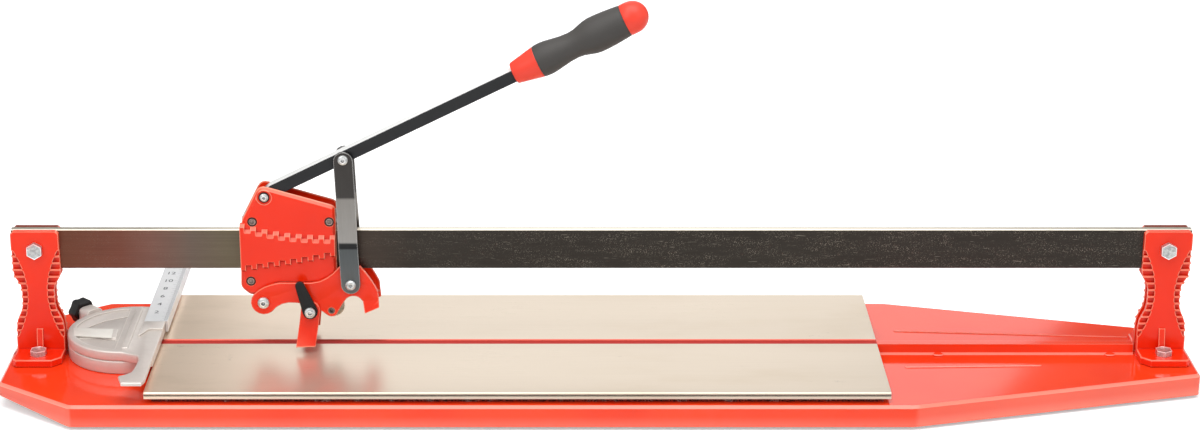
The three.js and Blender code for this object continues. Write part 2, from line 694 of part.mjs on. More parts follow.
function lockKnob() {
  const lobes = 6;
  const steps = 36;
  const star = new THREE.Shape();
  for (let i = 0; i < steps; i += 1) {
    const angle = i / steps * 2 * Math.PI;
    const radius = knobRadius - knobLobe + knobLobe * Math.cos(lobes * angle);
    if (i === 0) star.moveTo(radius, 0);
    else star.lineTo(radius * Math.cos(angle), radius * Math.sin(angle));
  }
  star.closePath();
  const inner = lugReach + 1.2;
  const head = pulledX(star, inner, inner + knobThickness, { chamfer: 1.4 });
  const length = inner + 1 - gaugeRadius - clearance;
  const stud = solidOf(new THREE.CylinderGeometry(studRadius, studRadius, length, 16)
    .applyMatrix4(axisAlongX).translate(gaugeRadius + clearance + length / 2, 0, 0));
  return join(head, stud);
}

const knobGroup = groupAt(0, 0, knobHeight, gauge);
knobGroup.rotation.z = knobAzimuth;
add('lock_knob', 'blackPlastic', lockKnob(), knobGroup);

// ---------------------------------------------------------------- carriage covers
// Two mirror-image covers straddle the rail. They butt on bosses at the three cover screws and hold
// the bearing pins, the lever's pivot bolt above the rail and the arm's pivot bolt below it.

const coverOutside = coverInside + coverWall;
const panelFace = coverOutside + panelRise;
const carriageRight = carriageLeft + coverWidth;
const coverTop = railTop + coverPeak;
const leverPivot = new THREE.Vector2(carriageLeft + 23.5, railTop + 32.4);
const armPivot = new THREE.Vector2(carriageLeft + 20.2, railBottom - 28.6);
const axleRadius = m6.radius;
const bearings = [
  ['upper_left', carriageLeft + 12.3, railTop + bearingRadius + bearingGap],
  ['upper_right', carriageRight - 5.6, railTop + bearingRadius + bearingGap],
  ['lower', carriageLeft + 9.3, railBottom - bearingRadius - bearingGap],
];
const armPivotRadius = m8.radius;
const pivotRecessRadius = acrossFlats(m6.flats) + 0.7; // round the lever's pivot bolt
const pivotSeat = coverOutside - 1;

// The raised panel: wide at the left, narrower at the right, with teeth along both long edges. It is
// a row of columns, tall and short in turn, whose ends lean in.
function raisedPanel() {
  const left = carriageLeft + 1.2;
  const right = carriageRight - 0.8;
  const span = right - left;
  const upper = (x) => railTop - 4.6 + 11.5 * ((right - x) / span) ** 2.4;
  const lower = (x) => railBottom + 16.1 - 14.8 * ((right - x) / span) ** 0.8;
  const count = Math.floor(span / toothPitch);
  const first = left + (span - (count - 0.5) * toothPitch) / 2;
  const edges = [left];
  for (let i = 0; i < count; i += 1) edges.push(first + i * toothPitch, first + (i + 0.5) * toothPitch);
  edges.push(right);
  const foot = -coverOutside + coverChamfer;
  const columns = edges.slice(1).map((end, i) => {
    const middle = (edges[i] + end) / 2;
    const tooth = i % 2 === 0 ? toothHeight / 2 : -toothHeight / 2;
    const low = lower(middle) - tooth;
    const high = upper(middle) + tooth;
    return pulledX(polygon([
      [foot, low], [foot, high], [-coverOutside, high],
      [-panelFace, high - panelSlope], [-panelFace, low + panelSlope], [-coverOutside, low],
    ]), edges[i], end);
  });
  return join(...columns);
}

function coverFront() {
  const earRadius = 8.7;
  const outline = roundedPolygon([
    [carriageLeft + 19.5, coverTop], [carriageLeft + 2.5, railTop + 9.9],
    [carriageLeft, railBottom - 16.2], [carriageLeft + 8.5, railBottom - 23.7],
    [armPivot.x + 2, railBottom - 22.1], [armPivot.x + earRadius + 2, railBottom - coverSkirt],
    [carriageRight, railBottom - coverSkirt], [carriageRight, railTop + coverShoulder],
  ], [7, 5, 4, 4, 4, 5, 5, 4]);
  const ear = capsule(armPivot.x, armPivot.y + earRadius, armPivot.x, armPivot.y, earRadius);
  const behind = box(carriageLeft - 10, carriageRight + 10, -coverInside, railThickness,
    railBottom - 50, coverTop + 10);
  const [wall, earWall] = [outline, ear].map((shape) => cut(
    pulledY(shape, -coverOutside, 0, { chamfer: coverChamfer, curveSegments: 4 }), behind));

  const bosses = bearings.map(([, x, z]) => rodY(x, z, 5, -coverInside - 1, -bearingWidth / 2 - clearance, 14));
  const axleHoles = bearings.flatMap(([, x, z]) => [
    rodY(x, z, axleRadius + holePlay, -coverOutside - 1, 1, 14),
    solidOf(new THREE.CylinderGeometry(axleRadius + holePlay, 4.6, 2, 14)
      .translate(x, -coverOutside + 0.99, z)),
  ]);
  const pivotHole = rodY(leverPivot.x, leverPivot.y, m6.radius + holePlay, -coverOutside - 1, 1, 16);
  const armHole = rodY(armPivot.x, armPivot.y, armPivotRadius + holePlay, -coverOutside - 1, 1, 16);
  const pivotRecess = rodY(leverPivot.x, leverPivot.y, pivotRecessRadius, -coverOutside - 1, -pivotSeat, 18);
  const body = join(wall, earWall, raisedPanel(), ...bosses);
  return geometryOf(cut(body, ...axleHoles, pivotHole, pivotRecess, armHole));
}

const frontCover = coverFront();
add('carriage_cover_front', 'castRed', frontCover);
add('carriage_cover_rear', 'castRed', mirrored(frontCover, 'y'));

// the bearings' axles are dark countersunk screws that end flush in the rear cover
for (const [place, x, z] of bearings) {
  const r = axleRadius;
  const front = coverOutside - 0.3;
  const head = turned([[0, front - 2.2], [r, front - 1.7], [4, front - 0.4], [4, front], [0, front]], 14);
  const socket = rodY(0, 0, 2, front - 1.4, front + 1, 6);
  const shank = rodY(0, 0, r, -front, front - 1, 12);
  // drawn with its head at +Y, then turned to face the front
  const screw = geometryOf(cut(join(solidOf(head), shank), socket)).applyMatrix4(
    new THREE.Matrix4().makeBasis(axisX.clone().negate(), axisY.clone().negate(), axisZ));
  add(`bearing_axle_${place}`, 'darkScrew', screw).position.set(x, 0, z);
}

// ball bearings that run on the rail
for (const [place, x, z] of bearings) {
  const half = bearingWidth / 2;
  const bore = axleRadius + 0.15;
  const ring = turned([
    [bore, -half], [bore + 1.8, -half], [bore + 1.8, -half + 0.5], [bearingRadius - 1.8, -half + 0.5],
    [bearingRadius - 1.8, -half], [bearingRadius, -half], [bearingRadius, half], [bearingRadius - 1.8, half],
    [bearingRadius - 1.8, half - 0.5], [bore + 1.8, half - 0.5], [bore + 1.8, half], [bore, half], [bore, -half],
  ], 20);
  add(`bearing_${place}`, 'zinc', solidOf(ring)).position.set(x, 0, z);
}

add('lever_pivot_bolt', 'zinc', panBolt(m6, 4.5, m6.head, -pivotSeat, pivotSeat))
  .position.set(leverPivot.x, 0, leverPivot.y);

// the arm's pivot bolt passes outside both arm plates; a tube keeps the covers apart round it
const armInside = coverOutside + 0.7;
const armOutside = armInside + strip;
add('arm_pivot_bolt', 'zinc', panBolt(m8, 5.3, 3.4, -armOutside - 0.1, armOutside + 0.1))
  .position.set(armPivot.x, 0, armPivot.y);
const tubeEnd = coverInside - seat;
const armTube = turned([
  [armPivotRadius + holePlay, -tubeEnd], [6.2, -tubeEnd], [6.2, tubeEnd], [armPivotRadius + holePlay, tubeEnd],
  [armPivotRadius + holePlay, -tubeEnd],
], 16);
add('carriage_spacer', 'zinc', solidOf(armTube)).position.set(armPivot.x, 0, armPivot.y);

// ---------------------------------------------------------------- lever and grip
// Drawn along +X from the pivot, then raised to the lever's angle.

const lever = groupAt(leverPivot.x, 0, leverPivot.y);
lever.rotation.y = -leverAngle;

const sleeveStart = leverReach + ferruleLength;
const capStart = sleeveStart + sleeveLength;

function leverBar() {
  const bar = pulledY(capsule(0, leverLift, capStart - 12, leverLift, leverHeight / 2),
    -leverWidth / 2, leverWidth / 2, { chamfer: 0.8, curveSegments: 5 });
  const hole = (x) => rodY(x, 0, m6.radius + holePlay, -leverWidth, leverWidth, 16);
  return cut(bar, hole(0), hole(linkPinReach));
}

const barBore = box(leverReach - 5, capStart - 6, -leverWidth / 2 - holePlay, leverWidth / 2 + holePlay,
  leverLift - leverHeight / 2 - holePlay, leverLift + leverHeight / 2 + holePlay);

// a profile of [distance along the lever, radius], turned round the lever
function turnedOnLever(profile, segments = 20) {
  return solidOf(turned(profile.map(([along, radius]) => [radius, along]), segments)
    .applyMatrix4(axisAlongX).translate(0, 0, gripLift));
}

function gripSleeve() {
  const swell = new THREE.SplineCurve([
    [0, 14.3], [7, 14.8], [17, 13.6], [33, 11.6], [44, 13.9], [54, 16], [68, 15.7], [83.6, 14.3],
  ].map(([along, radius]) => new THREE.Vector2(along * sleeveLength / 83.6, radius * gripRadius / 14.3)));
  const side = swell.getPoints(12).map((p) => [sleeveStart + p.x, p.y]);
  const [start, end] = [sleeveStart + seat, capStart - seat];
  side[0][0] = start;
  side[side.length - 1][0] = end;
  return cut(turnedOnLever([[start, 0], ...side, [end, 0]]), barBore);
}

function gripCap() {
  const dome = [];
  const steps = 5;
  for (let i = 0; i <= steps; i += 1) {
    const angle = i / steps * Math.PI / 2;
    dome.push([capStart + 6 + (capLength - 6) * Math.sin(angle), i === steps ? 0 : gripRadius * Math.cos(angle)]);
  }
  return turnedOnLever([[capStart, 0], [capStart, gripRadius], ...dome]);
}

add('lever_bar', 'blackSteel', leverBar(), lever);
add('grip_ferrule', 'gripRed', cut(turnedOnLever([
  [leverReach, 0], [leverReach, 8.9], [leverReach + 1, 9.8], [sleeveStart - 1, gripRadius],
  [sleeveStart, gripRadius], [sleeveStart, 0],
]), barBore), lever);
add('grip_sleeve', 'gripRubber', gripSleeve(), lever);
add('grip_end_cap', 'gripRed', gripCap(), lever);

const linkTopInside = leverWidth / 2 + clearance;
const linkTopPin = new THREE.Vector2(
  leverPivot.x + linkPinReach * Math.cos(leverAngle), leverPivot.y + linkPinReach * Math.sin(leverAngle));
add('link_top_bolt', 'zinc', panBolt(m6, 4.5, m6.head, -linkTopInside - strip - 0.1, linkTopInside + strip + 0.1))
  .position.set(linkTopPin.x, 0, linkTopPin.y);

// ---------------------------------------------------------------- arm plates, wheel and links

const armPin = new THREE.Vector2(armPivot.x + 78.1, armPivot.y + 17.9); // where the links take hold
const wheelAxis = new THREE.Vector2(armPivot.x + 60.2, armPivot.y - 7.7);
const feetAxis = new THREE.Vector2(armPivot.x + 41.8, armPivot.y - 6.4);
const linkLowInside = armOutside + clearance;
const degrees = THREE.MathUtils.degToRad;

function armPlate() {
  const at = (x, z) => [armPivot.x + x, armPivot.y + z];
  const tabFold = 1.9;
  const endRadius = 11.3; // round the arm's pivot bolt
  const outline = new THREE.Shape();
  outline.absarc(armPivot.x, armPivot.y, endRadius, degrees(140), degrees(310), false);
  outline.quadraticCurveTo(...at(15, 1.6), ...at(28.6, -0.3));
  outline.absarc(feetAxis.x, feetAxis.y, 8.2, degrees(140), degrees(355), false);
  outline.absarc(wheelAxis.x, wheelAxis.y, 5.7, degrees(215), degrees(345), false);
  outline.quadraticCurveTo(...at(69, -3), ...at(72, 1.4));
  outline.absarc(armPivot.x + 80, armPivot.y - 2.7, 8.9, degrees(150), degrees(28), true);
  outline.lineTo(...at(102.5, tabFold));
  outline.lineTo(...at(101.8, 10.5));
  outline.quadraticCurveTo(...at(98, 20), ...at(86.8, 34.4));
  outline.lineTo(...at(68.2, 33.7));
  outline.quadraticCurveTo(...at(57, 19.5), ...at(42.9, 18.5));
  outline.lineTo(...at(14.3, 18.5));
  outline.quadraticCurveTo(...at(-1, 16), -endRadius * Math.cos(degrees(40)) + armPivot.x,
    armPivot.y + endRadius * Math.sin(degrees(40)));
  outline.closePath();
  const plate = pulledY(outline, -armOutside, -armInside, { chamfer: 0.4, curveSegments: 4 });

  // the tail is folded outwards along a level line
  const tail = pulled(polygon([
    [88.2, tabFold + 0.5], [90.1, tabFold - 11.6], [102.8, tabFold - 6.2], [102.5, tabFold + 0.5],
  ]), 0, strip, {}).applyMatrix4(acrossY);
  tail.translate(0, strip, -tabFold);
  tail.applyMatrix4(new THREE.Matrix4().makeRotationX(-degrees(20)));
  tail.translate(armPivot.x, -armOutside, armPivot.y + tabFold);
  const holes = [
    rodY(armPivot.x, armPivot.y, armPivotRadius + holePlay, -armOutside - 1, 0),
    rodY(feetAxis.x, feetAxis.y, m6.radius + holePlay, -armOutside - 1, 0),
    rodY(wheelAxis.x, wheelAxis.y, m6.radius + seat, -armOutside - 1, 0),
    rodY(armPin.x, armPin.y, m6.radius + seat, -armOutside - 1, 0),
  ];
  return geometryOf(cut(join(plate, solidOf(tail)), ...holes));
}

const frontArm = armPlate();
add('arm_plate_front', 'castRed', frontArm);
add('arm_plate_rear', 'castRed', mirrored(frontArm, 'y'));

// the studs that carry the links are riveted flush into the arm plates
const linkLowOutside = linkLowInside + strip;
const studHead = 2.4;
const stud = cut(
  join(
    rodY(0, 0, m6.radius, -linkLowOutside - clearance - 0.5, -armInside, 12),
    solidOf(turned([
      [0, -linkLowOutside - clearance - studHead], [3.3, -linkLowOutside - clearance - studHead],
      [4.7, -linkLowOutside - clearance - 1.1], [4.7, -linkLowOutside - clearance],
      [0, -linkLowOutside - clearance],
    ], 14)),
  ),
  rodY(0, 0, 2, -linkLowOutside - clearance - studHead - 1, -linkLowOutside - clearance - 1, 6),
);
const frontStud = geometryOf(stud);
add('link_stud_front', 'zinc', frontStud).position.set(armPin.x, 0, armPin.y);
add('link_stud_rear', 'zinc', mirrored(frontStud, 'y')).position.set(armPin.x, 0, armPin.y);

// scoring wheel on its axle between two spacers
const wheelHalf = wheelThickness / 2;
const wheelBore = m6.radius + 0.12;
add('scoring_wheel', 'toolSteel', solidOf(turned([
  [wheelBore, -wheelHalf], [7.5, -wheelHalf], [wheelRadius, -0.15], [wheelRadius, 0.15], [7.5, wheelHalf],
  [wheelBore, wheelHalf], [wheelBore, -wheelHalf],
], 32))).position.set(wheelAxis.x, 0, wheelAxis.y);
add('wheel_axle', 'darkScrew', cut(
  rodY(0, 0, m6.radius, -armOutside, armOutside, 12),
  rodY(0, 0, 1.9, -armOutside - 1, -armOutside + 2.5, 6),
)).position.set(wheelAxis.x, 0, wheelAxis.y);
const spacerEnd = wheelHalf + 0.2;
const wheelSpacer = turned([
  [wheelBore, -armInside + seat], [5, -armInside + seat], [5, -spacerEnd], [wheelBore, -spacerEnd],
  [wheelBore, -armInside + seat],
], 14);
const frontSpacer = geometryOf(solidOf(wheelSpacer));
add('wheel_spacer_front', 'zinc', frontSpacer).position.set(wheelAxis.x, 0, wheelAxis.y);
add('wheel_spacer_rear', 'zinc', mirrored(frontSpacer, 'y')).position.set(wheelAxis.x, 0, wheelAxis.y);

// A link is a flat strip set outwards by two bends so that it passes the cover. Drawn down from its pin.
const linkLength = linkTopPin.distanceTo(armPin);
const links = groupAt(linkTopPin.x, 0, linkTopPin.y);
links.rotation.y = -Math.atan2(armPin.x - linkTopPin.x, linkTopPin.y - armPin.y);

function link() {
  const half = linkWidth / 2;
  const [topIn, lowIn] = [-linkTopInside, -linkLowInside];
  const bent = pulledX(polygon([
    [topIn, half], [topIn - strip, half], [topIn - strip, -linkBendTop], [lowIn - strip, -linkBendBottom],
    [lowIn - strip, -linkLength - half], [lowIn, -linkLength - half], [lowIn, -linkBendBottom],
    [topIn, -linkBendTop],
  ]), -half, half);
  const room = linkLowOutside + strip;
  const plan = pulledY(capsule(0, -linkTopDrop, 0, -linkLength, half), -room, 0, { curveSegments: 6 });
  return geometryOf(cut(bent.intersect(plan),
    rodY(0, 0, m6.radius + holePlay, -room, 0), rodY(0, -linkLength, m6.radius + linkPlay, -room, 0)));
}

const frontLink = link();
add('link_front', 'linkSteel', frontLink, links);
add('link_rear', 'linkSteel', mirrored(frontLink, 'y'), links);

// ---------------------------------------------------------------- breaker feet and their toggle
// Both feet and the toggle are clamped on one bolt that turns in the arm plates.

const feet = groupAt(feetAxis.x, 0, feetAxis.y);
const stripInside = linkLowInside;
const stripOutside = stripInside + strip;

function breakerFoot() {
  const half = footWidth / 2;
  const reach = footDrop + 5;
  const splay = (reach - footBend) * Math.tan(footSplay);
  const skew = strip / Math.cos(footSplay);
  const bent = pulledX(polygon([
    [-stripInside, half], [-stripOutside, half], [-stripOutside, -footBend],
    [-stripInside - splay - skew, -reach], [-stripInside - splay, -reach], [-stripInside, -footBend],
  ]), -half, half);
  const room = stripInside + splay + 2 * skew;
  const plan = pulledY(capsule(0, 0, 0, -reach - footWidth, half), -room, 0, { curveSegments: 6 });
  const leaning = geometryOf(cut(bent.intersect(plan), rodY(0, 0, m6.radius + seat, -room, 0)))
    .applyMatrix4(new THREE.Matrix4().makeRotationY(footLean));
  // the tip is cut level, to press flat on a tile
  return geometryOf(cut(solidOf(leaning), box(-reach, reach, -room, 0, -reach - 5, -footDrop)));
}

const frontFoot = breakerFoot();
add('breaker_foot_front', 'castRed', frontFoot, feet);
add('breaker_foot_rear', 'castRed', mirrored(frontFoot, 'y'), feet);

const toggleInside = stripOutside + clearance;
const toggleOutside = toggleInside + toggleThickness;
function toggleLever() {
  const tipX = -toggleLength * Math.sin(toggleLean);
  const tipZ = toggleLength * Math.cos(toggleLean);
  const arm = pulledY(capsule(0, 0, tipX, tipZ, 6.7, 4), -toggleOutside, -toggleInside,
    { chamfer: 0.7, curveSegments: 4 });
  const hub = rodY(0, 0, 6.2, -toggleOutside - 0.8, -toggleInside, 16);
  return cut(join(arm, hub), rodY(0, 0, m6.radius + seat, -toggleOutside - 2, 0));
}

add('toggle_lever', 'blackPlastic', toggleLever(), feet);
add('feet_bolt', 'zinc', panBolt(m6, 4.9, m6.head, -toggleOutside - 0.8 - seat, stripOutside + seat), feet);
const feetTubeBore = m6.radius + holePlay;
add('feet_spacer', 'zinc', solidOf(turned([
  [feetTubeBore, -armInside + seat], [5, -armInside + seat], [5, armInside - seat],
  [feetTubeBore, armInside - seat], [feetTubeBore, -armInside + seat],
], 14)), feet);

// ---------------------------------------------------------------- the origin
// Everything above is drawn about the cutting line. The origin goes under the middle of the whole
// object, which reaches from the pan's front edge, or the fence's, to the ruler's far end.

const rulerTip = rulerNear + rulerLength;
cutter.position.y = -(Math.min(fenceFront, -halfWidth) + rulerTip) / 2;

export default cutter;
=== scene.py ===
"""Looks of a manual tile cutter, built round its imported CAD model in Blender 4.5. Metres, +Z up."""

from math import atan2, cos, radians, sin, sqrt, tau

import bmesh
import bpy
from mathutils import Euler, Matrix, Vector, noise


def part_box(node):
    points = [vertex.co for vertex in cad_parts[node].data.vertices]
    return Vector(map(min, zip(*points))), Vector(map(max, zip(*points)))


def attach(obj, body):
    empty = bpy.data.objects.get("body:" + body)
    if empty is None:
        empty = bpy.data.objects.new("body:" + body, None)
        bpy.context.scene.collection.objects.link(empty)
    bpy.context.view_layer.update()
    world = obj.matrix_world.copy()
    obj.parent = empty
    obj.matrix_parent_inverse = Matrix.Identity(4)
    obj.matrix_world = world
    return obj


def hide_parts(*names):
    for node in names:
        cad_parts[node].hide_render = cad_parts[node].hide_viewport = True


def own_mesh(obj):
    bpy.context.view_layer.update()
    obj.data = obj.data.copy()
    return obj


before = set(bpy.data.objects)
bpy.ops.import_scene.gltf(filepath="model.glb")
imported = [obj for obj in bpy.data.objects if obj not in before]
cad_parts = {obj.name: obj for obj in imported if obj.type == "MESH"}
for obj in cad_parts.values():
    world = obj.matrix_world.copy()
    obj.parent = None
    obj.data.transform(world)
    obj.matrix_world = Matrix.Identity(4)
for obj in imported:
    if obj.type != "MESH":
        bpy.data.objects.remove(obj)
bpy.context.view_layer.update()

MM = 0.001

# ---- base pan
# One sheet of 1.5 mm steel, pressed into a shallow pan with a folded-up breaking ridge and two
# stiffening beads, then dipped in glossy vermilion enamel. It is slightly wavy. A painted highlight
# pales it along the folds, a painted reflection pales the skirt's foot and its end facets, and in the
# slot between the deck plates it is dull and darkened with painted shade.


def shade(code):
    """The linear colour of an sRGB code."""
    parts = [int(code[i:i + 2], 16) / 255 for i in (0, 2, 4)]
    return tuple(p / 12.92 if p <= 0.04045 else ((p + 0.055) / 1.055) ** 2.4 for p in parts) + (1.0,)


class Wire:
    """An output of a shader node. Arithmetic on it adds Math nodes."""

    def __init__(self, finish, socket):
        self.finish, self.socket = finish, socket

    def math(self, operation, *terms, clamp=False):
        return self.finish.node("ShaderNodeMath", {"operation": operation, "use_clamp": clamp},
                                dict(enumerate(terms)))

    def __add__(self, other):
        return self.math("ADD", self, other)

    def __sub__(self, other):
        return self.math("SUBTRACT", self, other)

    def __mul__(self, other):
        return self.math("MULTIPLY", self, other)

    def __truediv__(self, other):
        return self.math("DIVIDE", self, other)

    def __rsub__(self, other):
        return self.math("SUBTRACT", other, self)

    def __abs__(self):
        return self.math("ABSOLUTE", self)

    __radd__ = __add__
    __rmul__ = __mul__

    def clamped(self):
        return self.math("ADD", self, 0.0, clamp=True)

    def over(self, low, high):
        """0 below low, 1 above high, and a soft step between."""
        return self.finish.node("ShaderNodeMapRange", {"interpolation_type": "SMOOTHSTEP"},
                                {"Value": self, "From Min": low, "From Max": high})


class Finish:
    """A material. The slot of the record that it is meant for is kept on it but not used. What varies over
    its surface is wired in by name.
    """

    def __init__(self, name, slot, **constants):
        self.slot = slot
        self.material = bpy.data.materials.new(name)
        self.material.use_nodes = True
        self.tree = self.material.node_tree
        self.shader = self.tree.nodes["Principled BSDF"]
        self.place = self.node("ShaderNodeTexCoord", {}, {}, "Object")
        self.set(**constants)

    def node(self, kind, settings, values, output=0):
        node = self.tree.nodes.new(kind)
        for name, value in settings.items():
            if name == "stops":
                ramp = node.color_ramp.elements
                while len(ramp) < len(value):
                    ramp.new(1.0)
                for stop, (at, colour) in zip(ramp, value):
                    stop.position, stop.color = at, colour
            else:
                setattr(node, name, value)
        for name, value in values.items():
            self.feed(node.inputs[name], value)
        return Wire(self, node.outputs[output])

    def feed(self, socket, value):
        if isinstance(value, Wire):
            self.tree.links.new(value.socket, socket)
        else:
            socket.default_value = value

    def set(self, **values):
        for name, value in values.items():
            self.feed(self.shader.inputs[name.replace("_", " ")], value)

    def mix(self, factor, low, high):
        return self.node("ShaderNodeMix", {"data_type": "RGBA"}, {0: factor, 6: low, 7: high}, 2)

    def along(self, x=1.0, y=1.0, z=1.0, turn=(0.0, 0.0, 0.0)):
        """Object coordinates stretched along the axes, to draw a pattern out."""
        return self.node("ShaderNodeMapping", {}, {
            "Vector": self.place, "Scale": (x, y, z), "Rotation": turn})

    def axis(self, letter):
        return self.node("ShaderNodeSeparateXYZ", {}, {0: self.place}, "XYZ".index(letter))

    def facing(self, letter):
        """How far the surface faces along an axis of the object, from -1 to 1."""
        normal = self.node("ShaderNodeTexCoord", {}, {}, "Normal")
        return self.node("ShaderNodeSeparateXYZ", {}, {0: normal}, "XYZ".index(letter))

    def cloud(self, scale, detail=3.0, rough=0.55, vector=None):
        """Noise from 0 to 1, in features of about 1/scale metres."""
        return self.node("ShaderNodeTexNoise", {}, {
            "Vector": vector or self.place, "Scale": scale, "Detail": detail, "Roughness": rough})

    def near(self, reach, inside=False):
        """0 on open flats, rising to 1 in corners closer than reach: hollow ones, or with inside, edges."""
        settings = {"samples": 8, "inside": inside, "only_local": True}
        return 1.0 - self.node("ShaderNodeAmbientOcclusion", settings, {"Distance": reach}, 1)

    def bump(self, height, distance, strength=1.0, round_edges=0.0):
        """Relief from a height of 0 to 1 over a distance. round_edges softens sharp edges by a radius."""
        values = {"Height": height, "Distance": distance, "Strength": strength}
        if round_edges:
            values["Normal"] = self.node("ShaderNodeBevel", {"samples": 6}, {"Radius": round_edges})
        self.set(Normal=self.node("ShaderNodeBump", {}, values))


def enamel(name, slot, colour, dark, roughness, pitted, gloss, pale, edge):
    """Red stove enamel. Painted shade darkens it in corners and hollows, and more on undersides.
    It is pale on edges, partly where the paint is thin and partly a painted highlight, and a painted
    highlight pales the bevels that face up. pitted says how far the metal's grain shows, pale how
    strong that highlight on bevels is, and edge how far in from an edge the pale edge reaches."""
    paint = Finish(name, slot, IOR=1.5, Specular_IOR_Level=gloss, Coat_Roughness=0.05)
    drift = paint.cloud(9.0, 2.0)
    grain = paint.cloud(900.0, 2.0, 0.6)
    dust = paint.cloud(260.0, 4.0, 0.7)
    body = paint.mix(drift.over(0.35, 0.7), shade(colour), shade(dark))
    # Painted shade: corners and hollows are darker red.
    hollow_shade = paint.mix(paint.near(5 * MM).over(0.25, 0.75) * 0.75, body, shade("c01505"))
    upward = paint.facing("Z")
    # Painted shade: undersides are darker.
    shaded = paint.mix((0.0 - upward).over(0.3, 0.6) * 0.75, hollow_shade, shade("a81404"))
    # Painted highlight: bevels that face partly up turn salmon.
    lit = paint.mix(upward.over(0.3, 0.5) * (1.0 - upward.over(0.85, 0.95)) * pale, shaded, shade("ff9478"))
    # Pale edges: partly paint worn thin, partly a painted highlight.
    paint.colour = paint.mix(paint.near(edge, inside=True).over(0.1, 0.4) * 0.9, lit, shade("ff9a7c"))
    paint.roughness = roughness + 0.06 * dust + 0.03 * drift
    paint.coat = 0.15 - 0.1 * dust
    paint.set(Base_Color=paint.colour, Roughness=paint.roughness, Coat_Weight=paint.coat)
    paint.bump(paint.cloud(70.0, 2.0) * 0.6 + grain * pitted, 0.06 * MM, 0.5, round_edges=0.4 * MM)
    return paint


def copy_of(node):
    """A bmesh of a CAD node, with its loose triangles joined and its flat faces whole again."""
    shape = bmesh.new()
    shape.from_mesh(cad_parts[node].data)
    bmesh.ops.remove_doubles(shape, verts=shape.verts, dist=0.01 * MM)
    bmesh.ops.dissolve_limit(shape, angle_limit=radians(1.5), verts=shape.verts, edges=shape.edges)
    return shape


def place(name, shape, finish, body, *nodes, smooth=34.0):
    """Makes a bmesh a piece of one finish that rides on a body and stands for CAD nodes."""
    mesh = bpy.data.meshes.new(name)
    shape.to_mesh(mesh)
    shape.free()
    if "custom_normal" in mesh.attributes:
        mesh.attributes.remove(mesh.attributes["custom_normal"])
    mesh.polygons.foreach_set("use_smooth", [True] * len(mesh.polygons))
    mesh.set_sharp_from_angle(angle=radians(smooth))
    mesh.materials.append(finish.material)
    piece = bpy.data.objects.new(name, mesh)
    bpy.context.scene.collection.objects.link(piece)
    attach(piece, body)
    if nodes:
        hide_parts(*nodes)
    return piece


rail_low, rail_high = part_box("rail_bar")
cut_line = (rail_low.y + rail_high.y) / 2
deck_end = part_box("deck_plate_front")[1].x
slot_half = cut_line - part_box("deck_plate_front")[1].y
skirt_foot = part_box("base_pan")[0].z
pan_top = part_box("left_post_front")[0].z

pan_enamel = enamel("pan_enamel", "red_paint", "fb441a", "f33a12", roughness=0.06, pitted=0.1,
                    gloss=0.45, pale=0.1, edge=0.6 * MM)
across, up = pan_enamel.axis("Y"), pan_enamel.axis("Z")
facing_up = pan_enamel.facing("Z")
# Painted reflection pales the skirt's foot and its end facets, and a painted highlight pales the folds.
skirt_low = 1.0 - up.over(skirt_foot + 1 * MM, skirt_foot + 11 * MM)
below_top = 1.0 - up.over(pan_top - 2.5 * MM, pan_top - 1 * MM)
facet = abs(pan_enamel.facing("X")).over(0.1, 0.3) * below_top
fold = facing_up.over(0.5, 0.62) * (1.0 - facing_up.over(0.82, 0.92))
painted_rim_glare = pan_enamel.mix(
    (0.35 * skirt_low + 0.35 * facet + 0.7 * fold).clamped(), pan_enamel.colour, shade("ff9480"))
# Painted shade: darker red in the slot between the deck plates, which is also dull.
between_plates = 1.0 - abs(across - cut_line).over(slot_half - 0.1 * MM, slot_half + 0.1 * MM)
slot = between_plates * (1.0 - pan_enamel.axis("X").over(deck_end, deck_end + 1 * MM))
pan_enamel.set(
    Base_Color=pan_enamel.mix(slot * 0.9, painted_rim_glare, shade("b0180a")),
    Roughness=pan_enamel.roughness + 0.55 * slot,
    Coat_Weight=pan_enamel.coat * (1.0 - slot))
place("pressed_pan", copy_of("base_pan"), pan_enamel, "base", "base_pan", smooth=24.0)

# ---- spot welds
# Two spot welds right of the deck, on the line of the ridge's front foot. They show as low oval
# domes under the enamel.

weld_radius, weld_rise, weld_inset = 5 * MM, 0.5 * MM, 7 * MM
welds = bmesh.new()
for past_deck in (55.2 * MM, 209.5 * MM):
    spot = bmesh.ops.create_uvsphere(welds, u_segments=24, v_segments=12, radius=weld_radius)["verts"]
    bmesh.ops.scale(welds, verts=spot, vec=(1.0, 0.8, 0.35))
    bmesh.ops.translate(welds, verts=spot, vec=(
        deck_end + past_deck, cut_line - weld_inset, pan_top + weld_rise))
place("spot_welds", welds, pan_enamel, "base")

# ---- rubber feet
# Four tapered feet of moulded black rubber, pushed up under the pan. They hold the skirt a few
# millimetres off the floor, and the edge they stand on is rounded.

foot_rubber = Finish("foot_rubber", "foot_rubber", Specular_IOR_Level=0.35)
foot_rubber.set(
    Base_Color=foot_rubber.mix(foot_rubber.cloud(60.0), shade("1c1c1c"), shade("2b2a29")),
    Roughness=0.7 + 0.2 * foot_rubber.cloud(120.0))
foot_rubber.bump(foot_rubber.cloud(700.0, 2.0), 0.08 * MM)


def round_over(shape, radius, segments=2, above=32.0, where=lambda middle: True):
    """Rounds the edges that turn by more than an angle and whose middle passes a test."""
    edges = [e for e in shape.edges if len(e.link_faces) == 2 and e.calc_face_angle(0.0) > radians(above)
             and where((e.verts[0].co + e.verts[1].co) / 2)]
    bmesh.ops.bevel(shape, geom=edges, offset=radius, offset_type="OFFSET", segments=segments,
                    profile=0.5, affect="EDGES", clamp_overlap=True, material=-1)


for corner in ("front_left", "rear_left", "front_right", "rear_right"):
    foot = copy_of(f"rubber_foot_{corner}")
    round_over(foot, 0.8 * MM, 2, where=lambda middle: middle.z < 10 * MM)
    place(f"rubber_pad_{corner}", foot, foot_rubber, "base", f"rubber_foot_{corner}", smooth=50.0)
